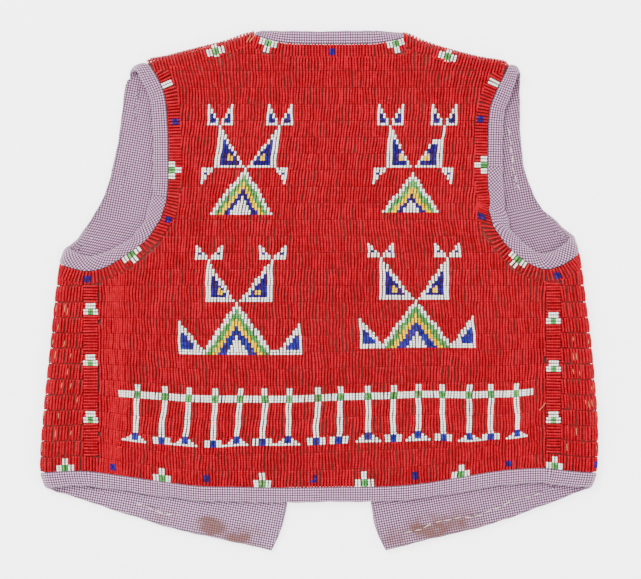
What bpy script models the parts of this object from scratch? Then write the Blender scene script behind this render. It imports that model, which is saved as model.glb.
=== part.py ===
"""A child's fully beaded hide vest, laid flat on its two fronts with its back uppermost.

Lengths are in millimetres until a mesh is made, which turns them into metres. +X is to the right
and +Y towards the neck as seen from above, +Z is up, and the vest rests on z = 0.

The cloth is described unfolded. A point has a reach, measured across the body and round the side
fold, an along, measured from hem to neck, and a depth below the outer, beaded surface. Reach is
zero where the bend of the side fold starts on the upper layer, negative further in, and runs on
through the bend to the lower layer.
"""

import math

import bmesh
import bpy
from mathutils import Vector
from mathutils.geometry import delaunay_2d_cdt

MILLIMETRE = 0.001

# Thicknesses of the cloth, and the gap between pieces, wider where both are bent
HIDE = 3.0
LINING = 1.0
SEAM = 0.3
BENT_SEAM = 0.5
RIM = HIDE + SEAM + LINING
FLAT_TOP = RIM + SEAM + HIDE

# Beadwork: lanes across the body, a border lane along each edge, and how far a lane stands up
LANE = 9.9
BORDER = 8.4
RIB = 0.6
SHOULDER_OF_RIB = 0.22
FIRST_LANE = 141.75
STRAIGHT_LANES = 15
SAGGING_LANES = 11

# Turned-out binding at every edge
BINDING = 9.0

# An armhole's binding at the shoulder: its width, the shares of the bend that it goes over, and the
# length along the armhole in which it turns square to the edge
SHOULDER_BINDING = {-1: 9.6, 1: 7.0}
OVER_SHOULDER = (1.0, 0.86, 0.74)
TURN_IN = 22.0

# The strip of beads over each side seam, and how far the linings start from the side folds
STRIP_INNER = {-1: 132.6, 1: 136.2}
STRIP_OUTER = {-1: 141.0, 1: 144.6}
STRIP_RIB = 0.8
LINING_FROM_FOLD = 1.8

# The bend at each side
BEND = 6.5
BEND_LENGTH = 18.8
LIFT_REACH = 48.0

# The bend over each shoulder
SHOULDER_BEND = 6.0
SHOULDER_LENGTH = 17.0
SHOULDER_HEIGHT = 10.6
SHOULDER_REACH = 32.0
SHOULDER_UNDER = 1.2

# Spacing of the points on outlines and inside panels
STEP = 8.0
PLAIN_GRID = 34.0
CLEAR = 2.4
CROWD = 1.8

# Along, and how far out the side fold reaches there
SIDE_FOLD = {
    -1: [(-119.5, 165.0), (-107.5, 167.4), (-77.5, 165.8), (-53.5, 163.4), (-29.5, 160.9), (-5.5, 158.5),
         (18.5, 155.4), (25.0, 153.0), (30.5, 149.5), (36.5, 147.0), (42.5, 144.5)],
    1: [(-119.5, 164.2), (-107.5, 167.0), (-77.5, 167.2), (-53.5, 165.4), (-29.5, 163.2), (-5.5, 160.2),
        (18.5, 157.2), (24.5, 155.8), (33.0, 153.6), (38.0, 150.5), (42.5, 147.5), (48.5, 142.1)],
}

# Along, and the height of the side fold there
FOLD_HEIGHT = [
    (-119.5, 9.4), (-100.0, 10.2), (-55.0, 11.2), (0.0, 10.6), (22.0, 9.8), (44.0, 8.2), (60.0, FLAT_TOP),
]

# Across, and how far up the shoulder fold or the neck reaches there
SHOULDER_FOLD = [
    (-116.0, 130.5), (-112.4, 134.1), (-109.0, 136.0), (-104.6, 137.7), (-100.7, 139.8), (-92.9, 141.2),
    (-77.4, 145.2), (-56.4, 150.6), (-45.1, 154.6), (-38.4, 155.8), (-34.0, 156.5), (0.0, 155.9),
    (30.6, 156.4), (48.4, 155.6), (55.3, 154.3), (61.0, 151.5), (70.8, 147.8), (88.0, 142.9),
    (99.5, 140.3), (111.0, 138.4), (114.4, 136.6), (119.0, 134.8), (122.0, 131.0),
]

# Across, and how much of the full bend the cloth takes there
CURL = [(-44.0, 1.0), (-35.0, 0.35), (46.0, 0.35), (54.0, 1.0)]

# Across and along: the beaded edge at the hem and at the back of the neck
HEM_EDGE = [
    (-165.8, -109.4), (-151.8, -108.2), (-137.4, -108.4), (-114.6, -111.6), (-97.8, -114.0), (-72.6, -117.2),
    (-47.4, -117.8), (-21.0, -118.3), (9.6, -117.9), (40.2, -117.5), (60.0, -116.0), (82.2, -112.4),
    (107.4, -108.2), (132.6, -106.4), (149.4, -107.9), (166.2, -109.4),
]
NECK_EDGE = [
    (-38.4, 153.2), (-35.9, 152.4), (-30.7, 150.8), (-22.3, 148.9), (-12.0, 148.1),
    (30.6, 148.1), (38.0, 148.9), (45.5, 150.3), (50.7, 151.6),
]

# Across and along, shoulder to side: the beaded edge of each armhole on the upper layer
ARMHOLE_EDGE = {
    -1: [(-104.4, 137.0), (-102.0, 135.4), (-97.7, 129.2), (-92.9, 118.1), (-91.1, 102.0), (-90.6, 84.5),
         (-91.2, 57.5), (-95.4, 42.5), (-107.4, 27.5), (-125.4, 15.5), (-137.4, 11.9), (-148.0, 13.6)],
    1: [(114.3, 136.0), (111.0, 129.1), (107.5, 122.2), (102.6, 108.5), (101.4, 84.5), (101.5, 66.0),
        (102.4, 50.3), (104.6, 39.5), (110.2, 30.6), (119.1, 21.5), (127.0, 15.9), (135.6, 13.0),
        (144.6, 15.0), (150.0, 18.0)],
}
ARMHOLE_AT_FOLD = {-1: 17.3, 1: 24.0}

# Across and along, fold to shoulder: the free edge of each front's armhole on the lower layer
FRONT_ARMHOLE = {
    -1: [(-130.8, 54.5), (-126.6, 66.5), (-123.6, 78.5), (-121.2, 90.5), (-119.4, 102.5), (-118.2, 114.5),
         (-116.6, 124.5)],
    1: [(131.4, 54.5), (126.0, 66.5), (123.0, 78.5), (121.8, 90.5), (121.2, 102.5), (121.2, 114.5),
        (121.2, 125.5)],
}
# Share of the bend and along, where that free edge comes round the fold
FRONT_ARMHOLE_BEND = {
    -1: [(0.5, 26.0), (0.75, 30.8), (0.9, 36.5), (1.0, 42.5)],
    1: [(0.5, 33.0), (0.75, 38.0), (0.9, 42.5), (1.0, 48.5)],
}

# Across and along, fold to centre: the free lower edge of each front, then its centre edge and neckline
FRONT_HEM = {
    -1: [(-158.5, -121.3), (-143.4, -125.6), (-126.0, -131.6), (-106.8, -137.6), (-88.2, -143.4),
         (-59.4, -149.8), (-28.4, -156.6)],
    1: [(157.6, -120.8), (145.8, -125.6), (129.6, -131.6), (113.4, -137.6), (93.6, -143.6),
        (67.8, -149.6), (39.6, -156.8)],
}
FRONT_CENTRE = {
    -1: [(-28.4, -156.6), (-22.6, -143.6), (-19.2, -128.0), (-14.0, -60.0), (-7.0, 10.0), (-2.0, 70.0)],
    1: [(39.6, -156.8), (34.2, -143.6), (31.2, -128.0), (26.0, -60.0), (19.0, 10.0), (14.0, 70.0)],
}
FRONT_NECK = {
    -1: [(-2.0, 70.0), (-9.0, 92.0), (-20.0, 116.0), (-32.0, 138.0), (-38.0, 147.4)],
    1: [(14.0, 70.0), (21.0, 92.0), (32.0, 116.0), (44.0, 136.0), (50.0, 145.4)],
}
FOLD_HEM = -118.5

# Cross-section of a binding: share of its width from the beaded edge, and share of its thickness
BINDING_SECTION = [(0.0, 0.0), (0.35, -0.08), (0.75, -0.04), (0.93, 0.12), (1.0, 0.42),
                   (1.0, 0.68), (0.94, 0.92), (0.82, 1.0), (0.0, 1.0)]
STRIP_SECTION = [(0.0, 0.0), (0.14, -STRIP_RIB), (0.5, -STRIP_RIB), (0.86, -STRIP_RIB), (1.0, 0.0),
                 (1.0, HIDE), (0.5, HIDE), (0.0, HIDE)]

RED_BEADS = ("red_beads", (0.62, 0.012, 0.022, 1.0), 0.28)
GINGHAM = ("gingham_cotton", (0.46, 0.32, 0.42, 1.0), 0.9)


def ease(share):
    """A soft step from 0 to 1."""
    share = min(1.0, max(0.0, share))
    return share * share * (3 - 2 * share)


def follow(rows, at):
    """The value at a place on a smooth line through rows of place and value, level past both ends."""
    if at <= rows[0][0]:
        return rows[0][1]
    if at >= rows[-1][0]:
        return rows[-1][1]
    index = max(number for number, row in enumerate(rows) if row[0] <= at)

    def slope(number):
        before = rows[max(0, number - 1)]
        after = rows[min(len(rows) - 1, number + 1)]
        return (after[1] - before[1]) / (after[0] - before[0])

    start, end = rows[index], rows[index + 1]
    span = end[0] - start[0]
    share = (at - start[0]) / span
    rise = (3 - 2 * share) * share ** 2
    leave = share * (1 - share) ** 2 * span
    arrive = share ** 2 * (1 - share) * span
    return start[1] + (end[1] - start[1]) * rise + slope(index) * leave - slope(index + 1) * arrive


def curve(points, step=STEP):
    """Points about one step apart on a smooth curve through the given points, ends included."""
    places = [0.0]
    for before, after in zip(points, points[1:]):
        places.append(places[-1] + math.dist(before, after))
    total = places[-1]
    count = max(2, round(total / step))
    first = [(place, point[0]) for place, point in zip(places, points)]
    second = [(place, point[1]) for place, point in zip(places, points)]
    spots = [total * i / count for i in range(count + 1)]
    return [Vector((follow(first, spot), follow(second, spot))) for spot in spots]


def joined(*lines):
    """One line from several, without the doubled points where they meet."""
    points = []
    for line in lines:
        for point in line:
            if not points or (point - points[-1]).length > 0.05:
                points.append(point)
    return points


def normals(path):
    """The direction to the left of a path at each point, lengthened at a corner so that widths stay even."""
    sides = []
    for before, after in zip(path, path[1:]):
        step = (after - before).normalized()
        sides.append(Vector((-step.y, step.x)))
    found = []
    for number in range(len(path)):
        one = sides[max(0, number - 1)]
        two = sides[min(len(sides) - 1, number)]
        middle = (one + two).normalized()
        found.append(middle / middle.dot(one))
    return found


def beside(path, distance):
    """The path moved to its left by a distance."""
    return [point + normal * distance for point, normal in zip(path, normals(path))]


def split(line, value, limit):
    """The parts of a line before and after a value along it first reaches a limit."""
    for number in range(len(line) - 1):
        low, high = value(line[number]), value(line[number + 1])
        if low < limit <= high:
            crossing = line[number].lerp(line[number + 1], (limit - low) / (high - low))
            return line[:number + 1] + [crossing], [crossing] + line[number + 1:]
    return line, []


def side_of(x):
    return -1 if x < 0 else 1


def fold_start(side, along):
    """How far out the bend of the side fold starts."""
    return follow(SIDE_FOLD[side], along) - BEND


def shoulder_start(x):
    """How far up the bend over the shoulder starts."""
    return follow(SHOULDER_FOLD, x) - SHOULDER_BEND


def top_height(x, along):
    """The height of the upper layer's plain outer surface: low in the middle, higher towards each fold."""
    inward = fold_start(side_of(x), along) - abs(x)
    side_rise = (follow(FOLD_HEIGHT, along) - FLAT_TOP) * ease(1 - inward / LIFT_REACH)
    below = shoulder_start(x) - along
    shoulder_rise = (SHOULDER_HEIGHT - FLAT_TOP) * ease(1 - below / SHOULDER_REACH)
    return FLAT_TOP + max(side_rise, shoulder_rise)


def over_top(x, along, depth):
    """A point of the upper layer, which bends over the shoulders and, less, at the back of the neck."""
    past = along - shoulder_start(x)
    if past <= 0:
        return Vector((x, along, top_height(x, along) - depth))
    bend = min(past, SHOULDER_LENGTH)
    turn = math.pi * bend / SHOULDER_LENGTH
    half = SHOULDER_HEIGHT / 2
    curl = follow(CURL, x)
    bent_y = shoulder_start(x) + (SHOULDER_BEND - depth) * math.sin(turn) - (past - bend)
    bent_z = half + (half - depth) * math.cos(turn)
    flat_z = SHOULDER_HEIGHT - depth
    return Vector((x, along + (bent_y - along) * curl, flat_z + (bent_z - flat_z) * curl))


def place(side, reach, along, depth):
    """A point of the cloth from its reach and along, folded as the vest lies."""
    start = fold_start(side, along)
    if reach <= 0:
        return over_top(side * (start + reach), along, depth)
    if reach >= BEND_LENGTH:
        return Vector((side * (start - (reach - BEND_LENGTH)), along, depth))
    turn = math.pi * reach / BEND_LENGTH
    half = follow(FOLD_HEIGHT, along) / 2
    out = max(BEND - depth, 0.4) * math.sin(turn)
    up = max(half - depth, 0.25) * math.cos(turn)
    return Vector((side * (start + out), along, half + up))


def unfold_top(side, x, along):
    return Vector((abs(x) - fold_start(side, along), along))


def unfold_bottom(side, x, along):
    return Vector((BEND_LENGTH + fold_start(side, along) - abs(x), along))


def lane_number(x, along):
    """Which lane a point lies in, and how far down it: the lower lanes sag with the hem."""
    sag_start = FIRST_LANE - LANE * STRAIGHT_LANES
    if along >= sag_start:
        return (FIRST_LANE - along) / LANE
    return STRAIGHT_LANES + SAGGING_LANES * (sag_start - along) / (sag_start - follow(HEM_EDGE, x))


def lane_line(number, x):
    """How far along a lane boundary, or a place between two, lies."""
    sag_start = FIRST_LANE - LANE * STRAIGHT_LANES
    if number <= STRAIGHT_LANES:
        return FIRST_LANE - LANE * number
    return sag_start - (sag_start - follow(HEM_EDGE, x)) * (number - STRAIGHT_LANES) / SAGGING_LANES


def ridge(share):
    """Height of a lane across its width, from 0 at a side to 1 on its flat crest."""
    return max(0.0, min(1.0, share / SHOULDER_OF_RIB, (1 - share) / SHOULDER_OF_RIB))


def gap_to(line, point):
    """Distance from a point to a line of points."""
    best = 1e9
    for start, end in zip(line, line[1:]):
        run = end - start
        share = min(1.0, max(0.0, (point - start).dot(run) / run.length_squared))
        best = min(best, (point - start - run * share).length)
    return best


def within(outline, point):
    """Whether a point lies inside a closed outline."""
    inside = False
    for start, end in zip(outline, outline[1:] + outline[:1]):
        if (start.y > point.y) != (end.y > point.y):
            crossing = start.x + (point.y - start.y) * (end.x - start.x) / (end.y - start.y)
            if point.x < crossing:
                inside = not inside
    return inside


def triangulated(outline, rows):
    """Triangles inside an outline, through rows of points that keep their edges where they are clear of it."""
    points = list(outline)
    edges = [(i, (i + 1) % len(outline)) for i in range(len(outline))]
    closed = outline + outline[:1]
    for row in rows:
        last = None
        for point in row:
            crowded = any((point - other).length < CROWD for other in points)
            if crowded or not within(outline, point) or gap_to(closed, point) < CLEAR:
                last = None
                continue
            points.append(point)
            if last is not None:
                edges.append((last, len(points) - 1))
            last = len(points) - 1
    corners, _, faces, _, _, _ = delaunay_2d_cdt(points, edges, [], 1, 1e-5)
    return corners, faces


def material(look):
    name, colour, roughness = look
    found = bpy.data.materials.get(name)
    if found is None:
        found = bpy.data.materials.new(name)
        found.use_nodes = True
        shader = found.node_tree.nodes["Principled BSDF"]
        shader.inputs["Base Color"].default_value = colour
        shader.inputs["Roughness"].default_value = roughness
        shader.inputs["Metallic"].default_value = 0.0
    return found


def solid(name, corners, faces, look):
    """An object of one closed body, from corners in millimetres."""
    mesh = bpy.data.meshes.new(name)
    mesh.from_pydata([corner * MILLIMETRE for corner in corners], [], faces)
    shape = bmesh.new()
    shape.from_mesh(mesh)
    bmesh.ops.recalc_face_normals(shape, faces=shape.faces)
    shape.to_mesh(mesh)
    shape.free()
    mesh.shade_smooth()
    mesh.set_sharp_from_angle(angle=math.radians(40))
    mesh.materials.append(material(look))
    piece = bpy.data.objects.new(name, mesh)
    bpy.context.scene.collection.objects.link(piece)
    return piece


def wall(name, outline, outer_rows, inner_rows, outer, inner, look):
    """A wall of cloth inside an outline: its raised outer side, its plain inner side and the edge between."""
    count = len(outline)
    outside, outer_faces = triangulated(outline, outer_rows)
    inside, inner_faces = triangulated(outline, inner_rows)
    corners = [outer(point) for point in outside] + [inner(point) for point in inside]
    shift = len(outside)
    faces = [tuple(face) for face in outer_faces]
    faces += [tuple(shift + corner for corner in reversed(face)) for face in inner_faces]
    for i in range(count):
        after = (i + 1) % count
        faces.append((after, i, shift + i, shift + after))
    return solid(name, corners, faces, look)


def band(name, stations, look):
    """A strip swept through its stations, each the same number of corners round its cross-section."""
    around = len(stations[0])
    corners = [corner for station in stations for corner in station]
    faces = [tuple(range(around)), tuple(reversed(range(len(corners) - around, len(corners))))]
    for number in range(len(stations) - 1):
        first = number * around
        for i in range(around):
            after = (i + 1) % around
            faces.append((first + i, first + after, first + around + after, first + around + i))
    return solid(name, corners, faces, look)


def grid(left, right, low, high, across, up):
    """Rows of points over a box."""
    columns = max(1, round((right - left) / across))
    rows = max(1, round((high - low) / up))
    places = [left + (right - left) * i / columns for i in range(columns + 1)]
    levels = [low + (high - low) * j / rows for j in range(rows + 1)]
    return [[Vector((place, level)) for place in places] for level in levels]


def armhole_path(side):
    """The beaded edge round a whole armhole, unfolded: down the back, round the side fold and up the front."""
    top = [unfold_top(side, x, along) for x, along in ARMHOLE_EDGE[side]]
    turn = Vector((BEND_LENGTH / 2, ARMHOLE_AT_FOLD[side]))
    free = [Vector((share * BEND_LENGTH, along)) for share, along in FRONT_ARMHOLE_BEND[side]]
    free += [unfold_bottom(side, x, along) for x, along in FRONT_ARMHOLE[side]]
    under = beside(curve(free), -BINDING)
    return curve(top + [turn] + [point for point in under if point.x > 0.7 * BEND_LENGTH])


def out_from_middle(side):
    """A function that gives how far from the middle of the body an unfolded point of the upper layer lies."""
    return lambda point: fold_start(side, point.y) + point.x


def armhole_top(side, x):
    """How far along the armhole's beaded edge lies at a place beside the side seam."""
    return split(armhole_path(side), out_from_middle(side), x)[1][0].y


def shoulder_line(first, last, under):
    """The edge below a shoulder, across from one place to another, so far under its bend."""
    places = [x for x in range(-117, 126, 9) if min(first, last) < x < max(first, last)]
    places = sorted([first, last] + places, reverse=first > last)
    return [Vector((x, shoulder_start(x) - under)) for x in places]


def hem_path(side):
    """The beaded edge of the hem on the upper layer, unfolded, from the side seam out to the fold's edge."""
    turn = Vector((BEND_LENGTH / 2, follow(HEM_EDGE, 167.0)))
    edge = [unfold_top(side, side * x, follow(HEM_EDGE, side * x)) for x in (STRIP_OUTER[side] + SEAM, 153.0)]
    return curve(edge + [turn], 5.0)


def neck_path():
    """The beaded edge at the back of the neck, across and along."""
    return curve([Vector(point) for point in NECK_EDGE], 6.5)


def front_path(side):
    """The beaded edge of a front, unfolded: from the fold along the hem, up the centre and round the neck."""
    turn = [Vector((BEND_LENGTH / 2, FOLD_HEM)), Vector((BEND_LENGTH * 0.75, FOLD_HEM - 1.2))]
    lower = [unfold_bottom(side, x, along) for x, along in FRONT_HEM[side]]
    hem = joined(curve(turn + lower[:1], 3.0), curve(lower, 11.0))
    centre = curve([unfold_bottom(side, x, along) for x, along in FRONT_CENTRE[side]], 12.0)
    neck = curve([unfold_bottom(side, x, along) for x, along in FRONT_NECK[side]], 12.0)
    return beside(joined(hem, centre, neck), BINDING)


def back_rib(x, along, armholes, neck):
    """How far the beads stand up on the back: a border lane along each edge, and lanes between."""
    point = Vector((x, along))
    edge = min(gap_to(line, point) for line in armholes + [neck])
    if edge < BORDER:
        return RIB * ridge(edge / BORDER)
    below = shoulder_start(x) - along
    if below < BORDER:
        return RIB * ridge(max(0.0, below) / BORDER)
    number = lane_number(x, along)
    seam = min(x + STRIP_INNER[-1], STRIP_INNER[1] - x)
    return RIB * ridge(number % 1.0) * ease(seam / CLEAR)


def back_panel():
    """The whole back, from the hem's beaded edge to the shoulders, over which it wraps."""
    left, right = -STRIP_INNER[-1] + SEAM, STRIP_INNER[1] - SEAM
    hem = [Vector((x, follow(HEM_EDGE, x) + SEAM)) for x in [left + (right - left) * i / 26 for i in range(27)]]
    armholes = {}
    for side in (-1, 1):
        line = split(armhole_path(side), out_from_middle(side), STRIP_INNER[side] - SEAM)[0]
        armholes[side] = [place(side, point.x, point.y, 0).xy for point in line]
    left_edge = beside(armholes[-1], SEAM)
    right_edge = beside(armholes[1], -SEAM)
    neck = neck_path()
    neck_edge = beside(neck, -BENT_SEAM)
    bends = [SHOULDER_LENGTH * share for share in (0.25, 0.5, 0.75, 1.0)]

    def over_shoulder(x, inner_x):
        """The edge round the bend at the outer end, along underneath, and back round it at the neck."""
        out = [Vector((x, shoulder_start(x) + bend)) for bend in bends[1:]]
        under = shoulder_line(x, inner_x, -SHOULDER_LENGTH - SHOULDER_UNDER)
        back = [Vector((inner_x, shoulder_start(inner_x) + bend)) for bend in reversed(bends[1:])]
        return out + under + back

    right_top = over_shoulder(right_edge[0].x, NECK_EDGE[-1][0] + 1.0)
    left_top = over_shoulder(left_edge[0].x, NECK_EDGE[0][0] - 1.0)
    outline = joined(
        hem,
        list(reversed(right_edge)),
        right_top,
        list(reversed(neck_edge)),
        list(reversed(left_top)),
        left_edge,
    )

    rows = []
    for bend in bends:
        rows.append([Vector((x, shoulder_start(x) + bend)) for x in range(-112, 120, 9)])
    rows.append([Vector((x, shoulder_start(x))) for x in range(-112, 120, 9)])
    for share in (1 - SHOULDER_OF_RIB, SHOULDER_OF_RIB):
        rows.append([Vector((x, shoulder_start(x) - BORDER * share)) for x in range(-112, 120, 12)])
    for share in (SHOULDER_OF_RIB, 1 - SHOULDER_OF_RIB, 1.0):
        rows.append(beside(armholes[-1], BORDER * share))
        rows.append(beside(armholes[1], -BORDER * share))
        rows.append(beside(neck, -BORDER * share))
    columns = [left + (right - left) * i / 13 for i in range(14)]
    for lane in range(-1, STRAIGHT_LANES + SAGGING_LANES):
        for share in (0.0, SHOULDER_OF_RIB, 1 - SHOULDER_OF_RIB):
            row = []
            for x in columns:
                inset = (CLEAR + 0.2) * ((x == left) - (x == right))
                point = Vector((x + inset, lane_line(lane + share, x)))
                edge = min(gap_to(line, point) for line in (armholes[-1], armholes[1], neck))
                if edge > BORDER + 0.5 and shoulder_start(x) - point.y > BORDER + 0.5:
                    row.append(point)
            rows.append(row)
    plain = rows[:5] + grid(left, right, -112.0, 142.0, PLAIN_GRID, PLAIN_GRID)
    lines = [armholes[-1], armholes[1]]
    return wall(
        "back_panel", outline, rows, plain,
        lambda point: over_top(point.x, point.y, -back_rib(point.x, point.y, lines, neck)),
        lambda point: over_top(point.x, point.y, HIDE),
        RED_BEADS,
    )


def under_shoulder(side, arm, edge):
    """A front's armhole edge and free edge, cut off below the shoulder, and the shoulder edge between them."""
    def rise(point):
        """How far a point of the lower layer lies past the shoulder edge."""
        return point.y - shoulder_start(place(side, point.x, point.y, 0).x) + SHOULDER_UNDER + SEAM

    arm = split(arm, rise, 0.0)[0]
    edge = split(edge, rise, 0.0)[0]
    first, last = (place(side, line[-1].x, line[-1].y, 0).x for line in (arm, edge))
    line = shoulder_line(first, last, SHOULDER_UNDER + SEAM)
    return arm, [unfold_bottom(side, point.x, point.y) for point in line[1:-1]], edge


def front_panel(side, name):
    """A front: from its seam on the back, round the side fold and under to the centre of the body."""
    seam = STRIP_OUTER[side] + SEAM
    arm = beside(split(armhole_path(side), out_from_middle(side), seam)[1], -BENT_SEAM)
    seam_top = arm[0]
    seam_low = unfold_top(side, side * seam, follow(HEM_EDGE, side * seam) + SEAM)
    hem = beside(hem_path(side), SEAM)
    arm, shoulder, edge = under_shoulder(side, arm, beside(front_path(side), BENT_SEAM))
    outline = joined([seam_low], arm, shoulder, list(reversed(edge)), list(reversed(hem[1:])))

    def depth(point):
        """Lanes stand up on the side that shows, and fade out where the fold turns under."""
        x = place(side, point.x, point.y, 0).x
        number = lane_number(x, point.y)
        from_edge = min(gap_to(arm, point), gap_to([seam_low, seam_top], point))
        showing = ease((BEND_LENGTH * 0.8 - point.x) / (BEND_LENGTH * 0.3))
        return -RIB * ridge(number % 1.0) * showing * ease(from_edge / CLEAR)

    bends = [BEND_LENGTH * i / 7 for i in range(8)]
    rows = []
    for lane in range(10, STRAIGHT_LANES + SAGGING_LANES):
        for share in (0.0, SHOULDER_OF_RIB, 1 - SHOULDER_OF_RIB):
            row = []
            for reach in [seam_low.x * 0.75, seam_low.x * 0.3] + bends[:-1]:
                x = side * (fold_start(side, lane_line(lane + share, 150.0)) + min(reach, 0.0))
                row.append(Vector((reach, lane_line(lane + share, x))))
            rows.append(row)
    rows.append([Vector((BEND_LENGTH, along)) for along in range(-112, 40, 8)])
    rows += grid(BEND_LENGTH + 18, 180.0, -140.0, 140.0, PLAIN_GRID, PLAIN_GRID)
    inner_rows = [[Vector((reach, along)) for along in range(-110, 36, 8)] for reach in bends]
    inner_rows += grid(BEND_LENGTH + 18, 180.0, -140.0, 140.0, PLAIN_GRID, PLAIN_GRID)
    return wall(
        name, outline, rows, inner_rows,
        lambda point: place(side, point.x, point.y, depth(point)),
        lambda point: place(side, point.x, point.y, HIDE),
        RED_BEADS,
    )


def front_lining(side, name):
    """The check cotton inside a front, which shows in the armhole and below the back's hem."""
    fold = BEND_LENGTH + LINING_FROM_FOLD
    arm = beside(armhole_path(side), -BENT_SEAM)
    arm = split(arm, lambda point: point.x, fold)[1]
    edge = split(beside(front_path(side), BENT_SEAM), lambda point: point.x, fold)[1]
    arm, shoulder, edge = under_shoulder(side, arm, edge)
    outline = joined(arm, shoulder, list(reversed(edge)))
    rows = grid(BEND_LENGTH + 18, 180.0, -140.0, 140.0, PLAIN_GRID, PLAIN_GRID)
    return wall(
        name, outline, rows, rows,
        lambda point: place(side, point.x, point.y, HIDE + SEAM),
        lambda point: place(side, point.x, point.y, RIM),
        GINGHAM,
    )


def bound_station(side, point, run, thickness):
    """The corners round a binding at one place: from the beaded edge, out along a run and back underneath."""
    station = []
    for share, deep in BINDING_SECTION:
        spot = point + run * share
        swell = min(0.0, deep) * HIDE * (point.x < 0)
        station.append(place(side, spot.x, spot.y, max(0.0, deep) * thickness + swell))
    return station


def binding(name, side, path, outward):
    """A turned-out strip along a beaded edge, thicker on the lower layer, where it holds the lining."""
    stations = []
    for point, normal in zip(path, normals(path)):
        thickness = HIDE + (RIM - HIDE) * ease((point.x - BEND_LENGTH / 2) / (BEND_LENGTH / 2))
        stations.append(bound_station(side, point, normal * (outward * BINDING), thickness))
    return band(name, stations, GINGHAM)


def over_shoulder_end(side, point):
    """The end of an armhole's binding, where it runs over the shoulder fold and on to its underside."""
    stations = []
    for bend in OVER_SHOULDER:
        station = []
        for share, deep in BINDING_SECTION:
            x = side * (fold_start(side, point.y) + point.x + SHOULDER_BINDING[side] * share)
            spot = unfold_top(side, x, shoulder_start(x) + SHOULDER_LENGTH * bend)
            station.append(place(side, spot.x, spot.y, deep * HIDE))
        stations.append(station)
    return stations


def armhole_binding(side, name):
    """The binding round a whole armhole, square to the body at the shoulder and to its path further on."""
    path = armhole_path(side)
    stations = over_shoulder_end(side, path[0])
    done = 0.0
    for number, (point, normal) in enumerate(zip(path, normals(path))):
        if number:
            done += (point - path[number - 1]).length
        turned = ease(done / TURN_IN)
        run = Vector((1.0, 0.0)).lerp(normal, turned).normalized()
        width = SHOULDER_BINDING[side] + (BINDING - SHOULDER_BINDING[side]) * turned
        thickness = HIDE + (RIM - HIDE) * ease((point.x - BEND_LENGTH / 2) / (BEND_LENGTH / 2))
        if turned == 1.0:
            run = normal
        stations.append(bound_station(side, point, run * width, thickness))
    return band(name, stations, GINGHAM)


def front_binding(side, name):
    path = front_path(side)
    path[0] = path[0] + (path[1] - path[0]).normalized() * SEAM
    return binding(name, side, path, -1)


def straight_binding(path, outward):
    """A turned-out strip along an edge of the upper layer, from points across and along."""
    stations = []
    for point, normal in zip(path, normals(path)):
        station = []
        for share, deep in BINDING_SECTION:
            spot = point + normal * (outward * BINDING * share)
            station.append(over_top(spot.x, spot.y, deep * HIDE))
        stations.append(station)
    return stations


def hem_binding():
    """The turned-out strip below the back's beads, from one side fold to the other."""
    stations = []
    for side in (-1, 1):
        edge = [unfold_top(side, side * x, follow(HEM_EDGE, side * x)) for x in (138.0, 146.0, 154.0)]
        path = curve(edge + [Vector((BEND_LENGTH / 2, follow(HEM_EDGE, 167.0)))], 4.0)
        half = []
        for point in path[1:]:
            station = []
            for share, deep in BINDING_SECTION:
                station.append(place(side, point.x, point.y - BINDING * share, deep * HIDE))
            half.append(station)
        stations.append(half)
    span = [-136.0 + 272.0 * i / 34 for i in range(35)]
    path = [Vector((x, follow(HEM_EDGE, x))) for x in span]
    middle = straight_binding(path, -1)
    return band("hem_binding", list(reversed(stations[0])) + middle + stations[1], GINGHAM)


def neck_binding():
    """The turned-out strip at the back of the neck."""
    path = neck_path()
    width = [min(BINDING, follow(SHOULDER_FOLD, point.x) - point.y) for point in path]
    stations = []
    for point, wide in zip(path, width):
        station = []
        for share, deep in BINDING_SECTION:
            spot = point + Vector((0.0, 1.0)) * (wide * share)
            station.append(over_top(spot.x, spot.y, deep * HIDE))
        stations.append(station)
    return band("neck_binding", stations, GINGHAM)


def side_strip(side, name):
    """The strip of beads that covers a side seam."""
    low_x, high_x = STRIP_INNER[side], STRIP_OUTER[side]
    ends = []
    for share, _ in STRIP_SECTION:
        x = low_x + (high_x - low_x) * share
        ends.append((x, follow(HEM_EDGE, side * x) + BENT_SEAM, armhole_top(side, x) - BENT_SEAM))
    stations = []
    count = 16
    for number in range(count + 1):
        station = []
        for (x, low, high), (_, deep) in zip(ends, STRIP_SECTION):
            along = low + (high - low) * number / count
            station.append(over_top(side * x, along, deep))
        stations.append(station)
    return band(name, stations, RED_BEADS)


def build():
    for old in list(bpy.data.objects):
        bpy.data.objects.remove(old, do_unlink=True)
    back_panel()
    hem_binding()
    neck_binding()
    for side, word in ((-1, "left"), (1, "right")):
        front_panel(side, "front_" + word)
        side_strip(side, "side_strip_" + word)
        front_lining(side, "front_lining_" + word)
        armhole_binding(side, "armhole_binding_" + word)
        front_binding(side, "front_binding_" + word)


build()
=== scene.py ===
"""Looks of the beaded vest: hide, glass beads sewn on in lanes, check cotton, floor, light and camera.

Lengths are in millimetres until a mesh is made. The cloth is described unfolded, as in the part: a
reach across the body and round the side fold, an along from hem to neck, and a depth below the plain
outer surface. Reach is zero where the bend of the side fold starts on the upper layer.
"""

import math
from functools import partial

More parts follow.
